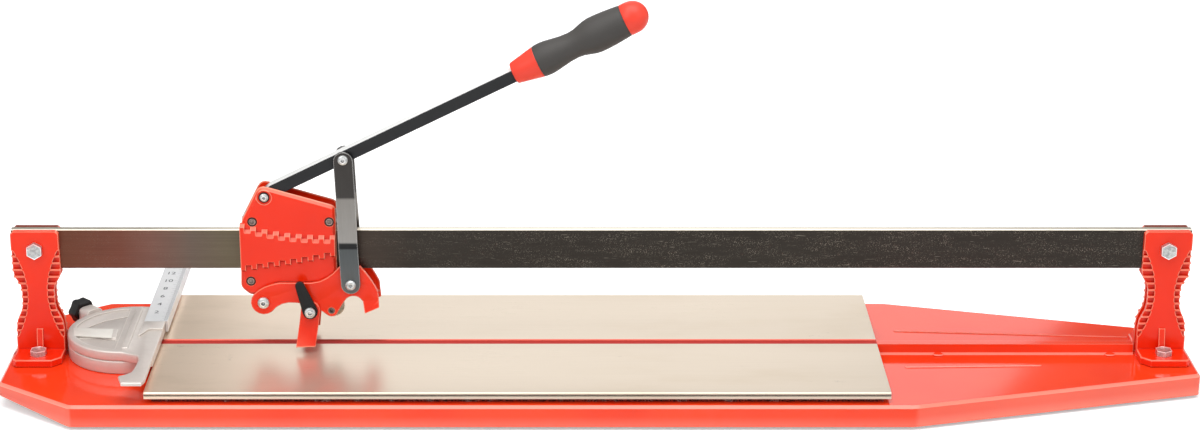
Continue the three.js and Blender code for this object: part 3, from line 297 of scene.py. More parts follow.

# ---- deck plates
# Two flat plates that carry the tile, brushed along their length and lightly lacquered. Handling
# has left cloudy smears and stains, and a fine groove runs along each outer edge. Painted shade
# darkens the groove and the corners, a painted glare makes the plates paler towards the gauge, and a
# painted reflection of the pan makes the slot's chamfers red.

deck_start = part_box("deck_plate_front")[0].x
deck_metal = Finish("deck_metal", "deck_metal", Metallic=0.7)
streak = deck_metal.cloud(60.0, 5.0, 0.65, deck_metal.along(0.16, 14.0, 14.0))
fine_streak = deck_metal.cloud(300.0, 4.0, 0.7, deck_metal.along(0.05, 6.0, 6.0))
smear = deck_metal.cloud(11.0, 5.0, 0.6, deck_metal.along(0.6, 1.6, 1.0))
stain = deck_metal.cloud(34.0, 6.0, 0.75).over(0.62, 0.74) * deck_metal.cloud(6.0, 2.0).over(0.55, 0.7)
# Painted glare: the plates are paler towards the gauge.
glare_near_gauge = 1.0 - deck_metal.axis("X").over(deck_start - 5 * MM, deck_start + 195 * MM)
brushed_with_glare = deck_metal.mix(glare_near_gauge * 0.6, deck_metal.mix(
    0.35 * streak + 0.45 * fine_streak, shade("cabba8"), shade("e2d4c2")), shade("ffe6cc"))
smeared = deck_metal.mix(smear.over(0.52, 0.78) * 0.35, brushed_with_glare, shade("c9b69c"))
# Painted shade in the groove and the corners.
corner_shaded = deck_metal.mix(deck_metal.near(1.2 * MM).over(0.2, 0.7), smeared, shade("3c3631"))
# Painted reflection of the red pan on the chamfers along the slot.
slot_edge = 1.0 - abs(deck_metal.axis("Y") - cut_line).over(slot_half + 0.9 * MM, slot_half + 1.1 * MM)
pan_reflection = deck_metal.mix(slot_edge * 0.9, corner_shaded, shade("c02c1a"))
deck_metal.set(
    Base_Color=deck_metal.mix(stain * 0.5, pan_reflection, shade("7e7466")),
    Roughness=0.20 + 0.12 * fine_streak + 0.08 * smear)
deck_metal.bump(fine_streak * 0.5 + streak * 0.5, 0.02 * MM, 0.6, round_edges=0.4 * MM)
groove_low, groove_high, groove_depth = 0.3 * MM, 1.2 * MM, 0.8 * MM
for side, outward in (("front", -1), ("rear", 1)):
    plate = copy_of(f"deck_plate_{side}")
    low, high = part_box(f"deck_plate_{side}")
    edge_middle = (low.z + high.z) / 2
    for z in (edge_middle + groove_high, edge_middle + groove_low):
        bmesh.ops.bisect_plane(plate, geom=plate.verts[:] + plate.edges[:] + plate.faces[:],
                               plane_co=(0, 0, z), plane_no=(0, 0, 1))
    groove = [f for f in plate.faces if f.normal.y * outward > 0.9
              and groove_low < f.calc_center_median().z - edge_middle < groove_high]
    bmesh.ops.inset_region(plate, faces=groove, thickness=0.05 * MM, depth=-groove_depth)
    place(f"deck_sheet_{side}", plate, deck_metal, f"deck_{side}", f"deck_plate_{side}", smooth=30.0)

# ---- foam strips
# Strips of dark red foam under the plates let them dip when a tile is snapped. The cut edges are
# ragged and crumbling, with grey dust in the cells.

foam = Finish("foam", "foam", Specular_IOR_Level=0.2)
cell = foam.cloud(620.0, 3.0, 0.7)
foam.set(
    Base_Color=foam.mix(cell.over(0.4, 0.62), shade("3d1f1b"), foam.mix(
        foam.cloud(90.0).over(0.55, 0.7), shade("9c4035"), shade("a9948a"))),
    Roughness=0.85 + 0.1 * cell)
foam.bump(cell, 0.8 * MM)
crumbled = 1.1 * MM


def ragged_strip(node, seed):
    """A strip as long as its CAD block, with sides that have crumbled away unevenly."""
    low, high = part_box(node)
    size = high - low
    strip = bmesh.new()
    bmesh.ops.create_cube(strip, size=1.0)
    bmesh.ops.scale(strip, verts=strip.verts, vec=size)
    bmesh.ops.translate(strip, verts=strip.verts, vec=(low + high) / 2)
    long_edges = [e for e in strip.edges if abs(e.verts[0].co.x - e.verts[1].co.x) > size.x / 2]
    bmesh.ops.subdivide_edges(strip, edges=long_edges, cuts=240, use_grid_fill=True)
    upright = [e for e in strip.edges if abs(e.verts[0].co.z - e.verts[1].co.z) > size.z / 2]
    bmesh.ops.subdivide_edges(strip, edges=upright, cuts=2, use_grid_fill=True)
    middle = (low.y + high.y) / 2
    for vert in strip.verts:
        side = 1 if vert.co.y > middle else -1
        wander = noise.noise(Vector((vert.co.x * 300 + seed, vert.co.z * 700, side)))
        vert.co.y -= side * crumbled * (1.0 + wander)
    return strip


for number, strip_name in enumerate(("front_outer", "front_inner", "rear_outer", "rear_inner")):
    node = f"deck_cushion_{strip_name}"
    strip = place(f"foam_strip_{strip_name}", ragged_strip(node, 40.0 * number), foam, "base", node,
                  smooth=60.0)
    side = strip_name.split("_")[0]
    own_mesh(strip)

# ---- rail
# A 36 x 8 mm flat bar with a dark oiled mill skin on its sides, browner at the left end. Its top
# edge, where the ball bearings run, is ground bright, and a painted highlight makes it paler still
# but for its rear third. Tile grit has stuck to the sides in specks and scratches, most of all on
# the right.


def wear(node, finish):
    """Gives a CAD node that is shown as it is a better material."""
    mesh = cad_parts[node].data
    mesh.materials.clear()
    mesh.materials.append(finish.material)


rail_steel = Finish("rail_steel", "rail_steel", Metallic=1.0)
drawn = rail_steel.cloud(120.0, 4.0, 0.65, rail_steel.along(0.06, 1.0, 5.0))
oil = rail_steel.cloud(16.0, 4.0, 0.6, rail_steel.along(0.5, 1.0, 1.0))
grit = rail_steel.cloud(1500.0, 3.0, 0.6).over(0.57, 0.66)
right = rail_steel.axis("X").over(-0.35, 0.1)
patches = rail_steel.cloud(55.0, 4.0, 0.7, rail_steel.along(0.5, 1.0, 2.0)).over(0.36, 0.7)
scattered = patches * (0.25 + 0.75 * right)
slanting = rail_steel.along(0.12, 1.0, 1.6, turn=(0.0, 0.5, 0.0))
scratch = rail_steel.cloud(500.0, 2.0, 0.6, slanting).over(0.68, 0.72)
from_left_end = (rail_steel.axis("X") + 0.5) * 2.86
tint = rail_steel.node("ShaderNodeValToRGB", {"stops": [
    (0.05, shade("6c4435")), (0.21, shade("784d41")), (0.29, shade("7e5c52")), (0.39, shade("6d6057")),
    (0.48, shade("6b6252")), (0.82, shade("4b423c")), (0.96, shade("3d3935"))]}, {"Fac": from_left_end})
skin = rail_steel.mix((0.5 * drawn + 0.5 * oil).over(0.35, 0.7) * 0.25, tint, shade("26221f"))
top_edge = rail_steel.axis("Z").over(rail_high.z - 0.6 * MM, rail_high.z - 0.2 * MM)
specks = (grit * scattered + scratch * 0.35 * right).clamped()
specked = rail_steel.mix(specks * 0.75, skin, shade("aba294"))
# Painted highlight: the ground top edge is paler but for its rear third.
rear_third = rail_steel.axis("Y").over(cut_line + 1.5 * MM, cut_line + 2.2 * MM)
ground_and_highlit = rail_steel.mix(rear_third, shade("f2e9d8"), shade("b9b2a4"))
rail_steel.set(
    Base_Color=rail_steel.mix(top_edge, specked, ground_and_highlit),
    Roughness=0.34 + 0.14 * drawn + 0.2 * grit - 0.08 * oil)
rail_steel.bump(drawn + grit, 0.03 * MM, 0.5, round_edges=0.4 * MM)
wear("rail_bar", rail_steel)

# ---- posts
# Each post is a pair of die-castings bolted round the rail. Ribs stand up each waisted side, and
# the foot is a flange with a gusset. They are enamelled after casting, so the grain shows a little.
# Painted shade darkens the rear halves' top faces.

cast_look = {"colour": "f63008", "dark": "ec2a06", "roughness": 0.2, "pitted": 0.25,
             "gloss": 0.3, "pale": 0.5, "edge": 1.3 * MM}
cast_enamel = enamel("cast_enamel", "cast_red", **cast_look)
shaded_top_enamel = enamel("shaded_top_enamel", "cast_red", **cast_look)
post_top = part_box("left_post_rear")[1].z
# Painted shade: the rear halves' top faces are darkened brown.
top_shade = shaded_top_enamel.axis("Z").over(post_top - 0.8 * MM, post_top - 0.4 * MM) * (
    0.8 + 0.2 * shaded_top_enamel.cloud(160.0, 4.0))
shaded_top_enamel.set(Base_Color=shaded_top_enamel.mix(top_shade, shaded_top_enamel.colour, shade("6e3526")))
for end in ("left", "right"):
    for side, finish in (("front", cast_enamel), ("rear", shaded_top_enamel)):
        post = copy_of(f"{end}_post_{side}")
        place(f"{end}_casting_{side}", post, finish, "base", f"{end}_post_{side}", smooth=32.0)

# ---- clamp and foot bolts
# Zinc-plated M8 hexagon bolts with a chamfered, dished head on a washer face, through plain nuts.
# The plating is bright with dull spots. A painted highlight whitens the edges, and painted shade
# darkens the hollows.


def plated(name, slot, bright, dull, rim, roughness):
    """Plated or bare steel with a cloudy surface. rim is a tone painted on its edges, a painted highlight on
    bright metal and a painted dark ring on dark screws, and painted shade darkens its hollows.
    """
    metal = Finish(name, slot, Metallic=0.75)
    patch = metal.cloud(420.0, 4.0, 0.6)
    # Painted edges: the rim tone is a highlight on bright metal and a dark ring on dark screws.
    worn = metal.mix(metal.near(0.9 * MM, inside=True).over(0.1, 0.4),
                     metal.mix(patch.over(0.35, 0.7), shade(bright), shade(dull)), shade(rim))
    # Painted shade darkens the hollows.
    metal.set(
        Base_Color=metal.mix(metal.near(2.5 * MM).over(0.2, 0.7) * 0.7, worn, shade("4b4846")),
        Roughness=roughness + 0.15 * patch)
    metal.bump(metal.cloud(1500.0, 2.0), 0.02 * MM, 0.4, round_edges=0.3 * MM)
    return metal


def ring(shape, profile, steps, middle, along):
    """Spins a profile of (radius, distance) points round an axis. It is a closed loop, or starts and
    ends on the axis."""
    turn = Vector((0, 0, 1)).rotation_difference(Vector(along)).to_matrix()
    others = set(shape.verts)
    start = [shape.verts.new((r, 0.0, h)) for r, h in profile]
    edges = [shape.edges.new(pair) for pair in zip(start, start[1:])]
    bmesh.ops.spin(shape, geom=start + edges, cent=(0, 0, 0), axis=(0, 0, 1), dvec=(0, 0, 0),
                   angle=tau, steps=steps, use_merge=True, use_duplicate=False)
    turned = [v for v in shape.verts if v not in others]
    bmesh.ops.remove_doubles(shape, verts=turned, dist=0.001 * MM)
    turned = [v for v in turned if v.is_valid]
    bmesh.ops.rotate(shape, verts=turned, cent=(0, 0, 0), matrix=turn)
    bmesh.ops.translate(shape, verts=turned, vec=middle)


def hex_prism(shape, flats, low, high, chamfer, middle, along, dish=0.0, fall=0.55):
    """A hexagon from low to high along an axis. Its top has a chamfer that falls by a share of its
    width and, on a forged head, a dish."""
    cone = bmesh.ops.create_cone(shape, cap_ends=True, segments=6, radius1=flats / sqrt(3),
                                 radius2=flats / sqrt(3), depth=high - low)["verts"]
    top = {f for v in cone for f in v.link_faces if f.normal.z > 0.9}
    inner = bmesh.ops.inset_region(shape, faces=list(top), thickness=chamfer, use_even_offset=True)
    verts = {v for f in inner["faces"] for v in f.verts} | set(cone)
    for vert in cone:
        if vert.co.z > 0:
            vert.co.z -= chamfer * fall
    if dish:
        for width in (1.1 * MM, 0.7 * MM):
            sunk = bmesh.ops.inset_region(shape, faces=list(top), thickness=width, depth=-dish,
                                          use_even_offset=True)
            verts |= {v for f in sunk["faces"] for v in f.verts}
    bmesh.ops.translate(shape, verts=list(verts), vec=(0, 0, (low + high) / 2))
    turn = Vector((0, 0, 1)).rotation_difference(Vector(along)).to_matrix()
    bmesh.ops.rotate(shape, verts=list(verts), cent=(0, 0, 0), matrix=turn)
    bmesh.ops.translate(shape, verts=list(verts), vec=middle)


def thread(radius, low, high, pitch=1.25 * MM, depth=0.6 * MM):
    """The outline of a threaded shank, as rings of crests and roots."""
    points = [(0.0, low), (radius - depth, low)]
    height = low + pitch / 2
    while height < high - pitch:
        points += [(radius, height), (radius - depth, height + pitch / 2)]
        height += pitch
    return points + [(radius, height), (radius, high), (0.0, high)]


zinc = plated("zinc", "zinc_steel", "cfd1d0", "9b9d9d", "ffffff", 0.22)
m8_flats, m8_head, m8_nut, m8_shank = 13 * MM, 5.3 * MM, 6.5 * MM, 4.0 * MM
m8_face_radius, m8_face = 6.1 * MM, 0.35 * MM
past_nut, head_foot = 1.5 * MM, 0.3 * MM
clamp_grip, foot_grip = 18 * MM, 8.5 * MM


def hex_bolt(node, seat, along, grip):
    """A bolt whose head sits at seat and whose nut closes on the far side of grip."""
    shape = bmesh.new()
    hex_prism(shape, m8_flats, head_foot, m8_head, 1.0 * MM, seat, along, dish=0.35 * MM)
    face = [(0.0, 0.0), (m8_face_radius, 0.0), (m8_face_radius, m8_face), (0.0, m8_face)]
    ring(shape, face, 40, seat, along)
    ring(shape, thread(m8_shank, -grip - m8_nut - past_nut, head_foot), 28, seat, along)
    hex_prism(shape, m8_flats, 0.0, m8_nut, 0.9 * MM, Vector(seat) - Vector(along) * grip, -Vector(along))
    return place(node.replace("bolt", "hex_bolt"), shape, zinc, "base", node, smooth=28.0)


for end in ("left", "right"):
    low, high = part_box(f"{end}_clamp_bolt")
    hex_bolt(f"{end}_clamp_bolt", ((low.x + high.x) / 2, low.y + m8_head, (low.z + high.z) / 2),
             (0, -1, 0), clamp_grip)
    for side in ("front", "rear"):
        low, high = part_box(f"{end}_foot_bolt_{side}")
        hex_bolt(f"{end}_foot_bolt_{side}", ((low.x + high.x) / 2, (low.y + high.y) / 2, high.z - m8_head),
                 (0, 0, 1), foot_grip)

# ---- angle gauge
# A fixed half-disc and a turning guide, both die-cast in bare aluminium alloy and tumbled, so the
# sunk fields stay dull and mottled. The rims are bright, partly from tumbling and partly a painted
# highlight, and painted shade darkens the corners. The guide carries the fence.

cast_alloy = Finish("cast_alloy", "cast_aluminium", Metallic=0.4, Specular_IOR_Level=0.6)
mottle = cast_alloy.cloud(140.0, 4.0, 0.6)
flow = cast_alloy.cloud(26.0, 3.0)
# Bright rims, partly tumbled metal and partly a painted highlight.
rim = cast_alloy.near(1.2 * MM, inside=True).over(0.1, 0.45)
skin_tone = cast_alloy.mix(flow * 0.6 + 0.4 * mottle, shade("e2dad3"), shade("c4bcb5"))
tumbled_and_highlit = cast_alloy.mix(rim * 0.8, skin_tone, shade("fff8f0"))
# Painted shade darkens the corners.
cast_alloy.set(
    Base_Color=cast_alloy.mix(cast_alloy.near(1.8 * MM).over(0.3, 0.8) * 0.75, tumbled_and_highlit, shade("4c4745")),
    Roughness=0.33 + 0.2 * mottle)
cast_alloy.bump(mottle + 0.5 * cast_alloy.cloud(800.0, 2.0), 0.12 * MM, 0.6, round_edges=0.6 * MM)
for name, node, body in (("gauge_half_disc", "gauge_base", "base"),
                         ("turning_guide", "angle_guide", "guide")):
    casting = copy_of(node)
    round_over(casting, 0.4 * MM, 2, above=38.0)
    place(name, casting, cast_alloy, body, node, smooth=40.0)
wear("guide_pivot_screw", zinc)

# ---- ruler
# A pale lacquered steel ruler of 2 mm sheet, folded down along one edge over the fence. Its marks
# are printed in pale grey, one for each millimetre and longer at the fives and tens, and its
# numbers in dark grey, one for every second centimetre.

ruler_face = Finish("ruler_face", "ruler_steel", Metallic=0.2, Specular_IOR_Level=0.5)
lacquer = ruler_face.cloud(50.0, 4.0)
ruler_face.set(
    Base_Color=ruler_face.mix(lacquer, shade("dcdee0"), shade("eceded")),
    Roughness=0.3 + 0.12 * ruler_face.cloud(300.0))
ruler_face.bump(ruler_face.cloud(400.0), 0.02 * MM, 0.4, round_edges=0.3 * MM)
wear("ruler", ruler_face)

ruler_low, ruler_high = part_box("ruler")
ruler_sheet = 2 * MM
end_margin = 2 * MM
mark_width, print_height = 0.22 * MM, 0.06 * MM
long_mark, middle_mark, short_mark = 6.5 * MM, 5 * MM, 3.2 * MM
mark_edge = ruler_high.x - 0.5 * MM
number_line, number_size = mark_edge - 12.4 * MM, 9 * MM
first_mark, print_middle = ruler_low.y + end_margin, ruler_high.z + print_height / 2
millimetres = int((ruler_high.y - ruler_low.y - 2 * end_margin) / MM)


def printed(name, dark, worn):
    """Printing ink that has worn unevenly."""
    ink = Finish(name, "ruler_steel", Specular_IOR_Level=0.3)
    ink.set(
        Base_Color=ink.mix(ink.cloud(900.0), shade(dark), shade(worn)),
        Roughness=0.55 + 0.1 * ink.cloud(500.0))
    return ink


marks = bmesh.new()
for millimetre in range(millimetres + 1):
    length = long_mark if millimetre % 10 == 0 else middle_mark if millimetre % 5 == 0 else short_mark
    mark = bmesh.ops.create_cube(marks, size=1.0)["verts"]
    bmesh.ops.scale(marks, verts=mark, vec=(length, mark_width, print_height))
    bmesh.ops.translate(marks, verts=mark, vec=(
        mark_edge - length / 2, first_mark + millimetre * MM, print_middle))
place("ruler_marks", marks, printed("mark_ink", "8d8f92", "a9abad"), "guide")

numbers = bmesh.new()
for centimetre in range(2, millimetres // 10 + 1, 2):
    curve = bpy.data.curves.new(f"number_{centimetre}", "FONT")
    curve.body, curve.size, curve.extrude = str(centimetre), number_size, print_height / 2
    curve.align_x = curve.align_y = "CENTER"
    text = bpy.data.objects.new(f"number_{centimetre}", curve)
    bpy.context.scene.collection.objects.link(text)
    bpy.context.view_layer.update()
    digits = bpy.data.meshes.new_from_object(text)
    digits.transform(Matrix.Translation((number_line, first_mark + centimetre * 10 * MM, print_middle)))
    numbers.from_mesh(digits)
    bpy.data.objects.remove(text)
    bpy.data.meshes.remove(digits)
place("ruler_numbers", numbers, printed("number_ink", "3c3e42", "56585c"), "guide", smooth=30.0)

# ---- ruler clip and blank plate
# A flat plate of the guide's alloy, with an S-shaped front edge, lies on the guide in front of the
# ruler's near end. A bright blank plate lies on the raised pad in the guide's sunk field.

guide_top = ruler_high.z - ruler_sheet
clip_sheet, clip_sunk = 2 * MM, 0.1 * MM
blank_sheet, blank_sunk = 0.8 * MM, 0.5 * MM
blank_face = Finish("blank_face", "ruler_steel", Metallic=0.15, Specular_IOR_Level=0.5)
blank_face.set(
    Base_Color=blank_face.mix(blank_face.cloud(90.0, 4.0), shade("efece4"), shade("dbd7ce")),
    Roughness=0.35 + 0.2 * blank_face.cloud(300.0))
blank_face.bump(blank_face.cloud(200.0), 0.05 * MM, 0.5)


def flat_plate(name, outline, low, thickness, finish):
    """A plate that lies on a height. Its outline is in millimetres from the ruler's near left corner."""
    shape = bmesh.new()
    corners = [shape.verts.new((ruler_low.x + x * MM, ruler_low.y + y * MM, low)) for x, y in outline]
    face = shape.faces.new(corners)
    if face.normal.z < 0:
        face.normal_flip()
    top = bmesh.ops.extrude_face_region(shape, geom=[face])
    bmesh.ops.translate(shape, verts=[v for v in top["geom"] if isinstance(v, bmesh.types.BMVert)],
                        vec=(0, 0, thickness))
    bmesh.ops.recalc_face_normals(shape, faces=shape.faces)
    round_over(shape, 0.25 * MM, 2, above=50.0)
    return place(name, shape, finish, "guide", smooth=40.0)


flat_plate("ruler_clip", [
    (-0.6, -0.2), (-0.6, -33.5), (0.8, -31.6), (2.8, -27.6), (4.4, -23.4), (6.0, -19.4), (8.4, -17.4),
    (12.0, -17.2), (19.0, -17.6), (19.0, -0.2)], guide_top - clip_sunk, clip_sheet, cast_alloy)
flat_plate("blank_plate", [
    (-62.2, -12.2), (-58.6, -30.4), (-24.4, -35.8), (-25.8, -14.4)], guide_top - blank_sunk,
    blank_sheet, blank_face)

# ---- lock knob
# A knob of black phenolic plastic with six shallow lobes, moulded on a stud that nips the guide's
# rim. Its edges are well rounded, and its skin is finely pebbled.

black_plastic = Finish("black_plastic", "black_plastic", Specular_IOR_Level=0.3)
black_plastic.set(
    Base_Color=black_plastic.mix(black_plastic.cloud(40.0), shade("0c0c0c"), shade("161616")),
    Roughness=0.38 + 0.2 * black_plastic.cloud(260.0))
black_plastic.bump(black_plastic.cloud(900.0, 2.0), 0.05 * MM, 0.6, round_edges=0.4 * MM)
knob = copy_of("lock_knob")
round_over(knob, 0.8 * MM, 3, above=38.0)
place("star_knob", knob, black_plastic, "knob", "lock_knob", smooth=45.0)

# ---- carriage covers
# A mirror-image pair of die-castings astride the rail, enamelled red. A raised panel crosses each
# one, with a row of square teeth along both of its edges.

for side in ("front", "rear"):
    cover = copy_of(f"carriage_cover_{side}")
    place(f"cover_{side}", cover, cast_enamel, "carriage", f"carriage_cover_{side}", smooth=32.0)

# ---- bearings, axles and spacer
# Three ball bearings run on the rail. Their axles are brownish oiled screws with a hexagon socket,
# sunk level with the covers in a hole. A thin black ring round each head is a painted shadow of the
# hole, and painted shade darkens the screws' edges.

# Its dark rim tone is a painted shadow at the edges.
dark_steel = plated("dark_steel", "dark_screw", "b29c94", "7c6c66", "4a3f3c", 0.3)
for corner in ("upper_left", "upper_right", "lower"):
    bearing = copy_of(f"bearing_{corner}")
    round_over(bearing, 0.3 * MM, 2, above=50.0)
    place(f"ball_bearing_{corner}", bearing, zinc, f"bearing_{corner}", f"bearing_{corner}", smooth=40.0)
    axle = copy_of(f"bearing_axle_{corner}")
    round_over(axle, 0.15 * MM, 2, above=40.0)
    place(f"axle_screw_{corner}", axle, dark_steel, "carriage", f"bearing_axle_{corner}", smooth=36.0)
wear("carriage_spacer", zinc)

shadow_black = Finish("shadow_black", "dark_screw", Specular_IOR_Level=0.2)
shadow_black.set(
    Base_Color=shadow_black.mix(shadow_black.cloud(800.0), shade("1d1513"), shade("33211d")),
    Roughness=0.7 + 0.2 * shadow_black.cloud(600.0))
# Painted shadow: thin black rings round the axle screws' heads.
shadow_rings = bmesh.new()
rim_inner, rim_outer, rim_proud = 3.1 * MM, 4.2 * MM, 0.1 * MM
for corner in ("upper_left", "upper_right", "lower"):
    low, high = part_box(f"bearing_axle_{corner}")
    for y, outward in ((low.y, -1), (high.y, 1)):
        middle = ((low.x + high.x) / 2, y, (low.z + high.z) / 2)
        ring(shadow_rings, [(rim_inner, -rim_proud), (rim_inner, rim_proud), (rim_outer, rim_proud),
                    (rim_outer, -rim_proud), (rim_inner, -rim_proud)], 28, middle, (0, outward, 0))
place("axle_screw_shadow_rings", shadow_rings, shadow_black, "carriage", smooth=30.0)

# ---- pan-head bolts of the linkage
# Zinc-plated screws with a domed head and a round recess, locked by a nut behind. One is the
# lever's pivot, on a thin black washer that is a painted shadow round its head, one the arm's, one
# joins the links to the lever, and one carries the feet.

m6 = {"flats": 10 * MM, "nut": 4 * MM}
m8 = {"flats": m8_flats, "nut": m8_nut}
past_lock_nut, washer_sheet = 1 * MM, 0.7 * MM


def pan_bolt(name, node, body, head_radius, head, flats, nut, shadow_washer=0.0):
    """A domed head at the box's front, a shank, and a nut whose outer end is short of the back."""
    low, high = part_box(node)
    x, z = (low.x + high.x) / 2, (low.z + high.z) / 2
    shank = flats * 0.3
    shape = bmesh.new()
    dome = [(0.0, 0.0), (head_radius, 0.0), (head_radius, 0.35 * head)]
    for angle in (radians(20), radians(40), radians(58), radians(70)):
        dome.append((head_radius * cos(angle), head * (0.35 + 0.65 * sin(angle))))
    dome += [(0.42 * head_radius, 0.98 * head), (0.40 * head_radius, 0.35 * head), (0.0, 0.3 * head)]
    ring(shape, dome, 36, (x, low.y + head, z), (0, -1, 0))
    span = high.y - low.y - head
    ring(shape, thread(shank, -span, 0.2 * MM, 1.0 * MM, 0.4 * MM), 24, (x, low.y + head, z), (0, -1, 0))
    hex_prism(shape, flats, 0.0, nut, 0.6 * MM, (x, high.y - past_lock_nut - nut, z), (0, 1, 0))
    place(name, shape, zinc, body, node, smooth=30.0)
    # Painted shadow: a thin black washer under the head.
    if shadow_washer:
        disc = bmesh.new()
        ring(disc, [(shank, 0.0), (shank, washer_sheet), (shadow_washer, washer_sheet), (shadow_washer, 0.0), (shank, 0.0)],
             32, (x, low.y + head, z), (0, -1, 0))
        place(f"{name}_washer", disc, shadow_black, body, smooth=30.0)


pan_bolt("lever_pivot", "lever_pivot_bolt", "carriage", 3.8 * MM, 2.6 * MM, **m6, shadow_washer=4.8 * MM)
pan_bolt("arm_pivot", "arm_pivot_bolt", "carriage", 5.3 * MM, 3.4 * MM, **m8)
pan_bolt("link_pivot", "link_top_bolt", "lever", 4.5 * MM, 2.6 * MM, **m6)
pan_bolt("feet_pivot", "feet_bolt", "breaker", 4.9 * MM, 2.6 * MM, **m6)
for side in ("front", "rear"):
    stud = copy_of(f"link_stud_{side}")
    round_over(stud, 0.3 * MM, 2, above=36.0)
    place(f"link_rivet_{side}", stud, zinc, "arm", f"link_stud_{side}", smooth=36.0)
wear("feet_spacer", zinc)

# ---- lever bar
# Flat steel bar, painted satin black. Its narrow upper edge is bare, and a painted reflection makes
# it near-white where it faces up. That edge is ground low at the end in the carriage to clear the
# covers.

lever_paint = Finish("lever_paint", "black_steel", Specular_IOR_Level=0.3)
chip = lever_paint.cloud(500.0, 3.0).over(0.6, 0.66)
scuff = lever_paint.cloud(45.0, 4.0)
# Painted reflection: the bare upper edge is near-white where it faces up.
bare_top_glare = lever_paint.facing("Z").over(0.75, 0.85)
painted = lever_paint.mix(scuff * 0.6, shade("191a1c"), shade("2a2c2f"))
bright = lever_paint.mix(scuff, shade("f0f0ee"), shade("fcfcfa"))
lever_paint.set(
    Base_Color=lever_paint.mix(bare_top_glare, painted, bright),
    Metallic=bare_top_glare * 0.15,
    Roughness=0.34 + 0.14 * scuff + 0.1 * chip)
lever_paint.bump(lever_paint.cloud(300.0, 3.0), 0.06 * MM, 0.5)
pivot_low, pivot_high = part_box("lever_pivot_bolt")
pin_low, pin_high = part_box("link_top_bolt")
lever_pivot = (pivot_low + pivot_high) / 2
lever_pivot.y = cut_line
link_pin = (pin_low + pin_high) / 2
lean = atan2(link_pin.z - lever_pivot.z, link_pin.x - lever_pivot.x)
along_lever = Vector((cos(lean), 0.0, sin(lean)))
above_lever = Vector((-sin(lean), 0.0, cos(lean)))
ground_from, ground_above, ground_slope = 9 * MM, 3.2 * MM, 0.22
bar = copy_of("lever_bar")
bmesh.ops.bisect_plane(bar, geom=bar.verts[:] + bar.edges[:] + bar.faces[:],
                       plane_co=lever_pivot + ground_from * along_lever, plane_no=along_lever)
for vert in bar.verts:
    past = (vert.co - lever_pivot).dot(along_lever)
    if past < ground_from and (vert.co - lever_pivot).dot(above_lever) > ground_above:
        vert.co -= above_lever * (ground_from - past) * ground_slope
round_over(bar, 0.4 * MM, 2, above=38.0)
place("lever_flat", bar, lever_paint, "lever", "lever_bar", smooth=40.0)

# ---- grip
# A two-colour grip on the end of the bar: a red nylon ferrule, a soft dark-grey sleeve that swells
# for the palm, and a red domed cap.

grip_lift = 1.7 * MM
grip_axis = lever_pivot + grip_lift * above_lever


def nylon(name, slot, light, dark, roughness, grain):
    """Moulded plastic or rubber with a fine pebbled skin."""
    moulded = Finish(name, slot, Specular_IOR_Level=0.45)
    pebble = moulded.cloud(grain, 2.0, 0.6)
    moulded.set(
        Base_Color=moulded.mix(moulded.cloud(30.0), shade(light), shade(dark)),
        Roughness=roughness + 0.15 * pebble)
    moulded.bump(pebble, 0.07 * MM, 0.7)
    return moulded


red_nylon = nylon("red_nylon", "grip_red", "f4442e", "ea3a26", 0.32, 900.0)
soft_rubber = nylon("soft_rubber", "grip_rubber", "45423f", "393735", 0.5, 1300.0)


def turned_grip(name, node, finish, profile):
    """A piece turned round the lever, from points of (distance from the pivot, radius) in millimetres."""
    shape = bmesh.new()
    ring(shape, [(r * MM, s * MM) for s, r in profile], 64, grip_axis, along_lever)
    return place(name, shape, finish, "lever", node, smooth=50.0)


turned_grip("red_ferrule", "grip_ferrule", red_nylon, [
    (246.4, 0.0), (246.4, 8.6), (246.7, 9.2), (247.4, 9.7), (256.0, 11.4), (269.2, 14.0), (269.9, 14.2),
    (270.3, 14.0), (270.35, 0.0)])
sleeve_start = 270.5
sleeve_curve = [
    (0.0, 14.1), (2.0, 14.5), (7.0, 14.75), (12.0, 14.3), (17.0, 13.5), (25.0, 12.2), (33.0, 11.65),
    (39.0, 12.3), (44.0, 13.8), (49.0, 15.2), (54.0, 15.9), (60.0, 15.95), (68.0, 15.6),
    (76.0, 14.9), (82.0, 14.3), (83.3, 14.0)]
turned_grip("soft_sleeve", "grip_sleeve", soft_rubber, [
    (sleeve_start, 0.0)] + [(sleeve_start + s, r) for s, r in sleeve_curve] + [(353.9, 0.0)])
dome_start, dome_length, dome_radius = 360.0, 14.9, 14.25
dome = [(dome_start + dome_length * sin(radians(angle)), dome_radius * cos(radians(angle)))
        for angle in range(0, 86, 8)]
turned_grip("red_cap", "grip_end_cap", red_nylon, [
    (354.0, 0.0), (354.0, 13.9), (354.5, dome_radius)] + dome + [(374.95, 0.0)])

# ---- links
# Two strips of bare steel, sheared, then bent outwards to pass the covers. Painted light makes them
# grey below the lower bend, dark at it, bright between the bends, where they slope up, and dark
# above, and a painted highlight makes the sheared edges pale.

link_steel = Finish("link_steel", "link_steel", Metallic=1.0)
grind = link_steel.cloud(160.0, 4.0, 0.6, link_steel.along(6.0, 1.0, 0.25))
haze = link_steel.cloud(30.0, 3.0)
link_low, link_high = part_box("link_front")
# Painted light: tones by height, bright where the middle slopes up and dark at the bends.
height = link_steel.node("ShaderNodeValToRGB", {"stops": [
    (0.0, shade("6a6f71")), (0.32, shade("5d6162")), (0.332, shade("2c2d2e")), (0.362, shade("343536")),
    (0.374, shade("a6a39f")), (0.662, shade("9a9691")), (0.678, shade("4d4a48")), (1.0, shade("4b4846"))]},
    {"Fac": (link_steel.axis("Z") - link_low.z) / (link_high.z - link_low.z)})
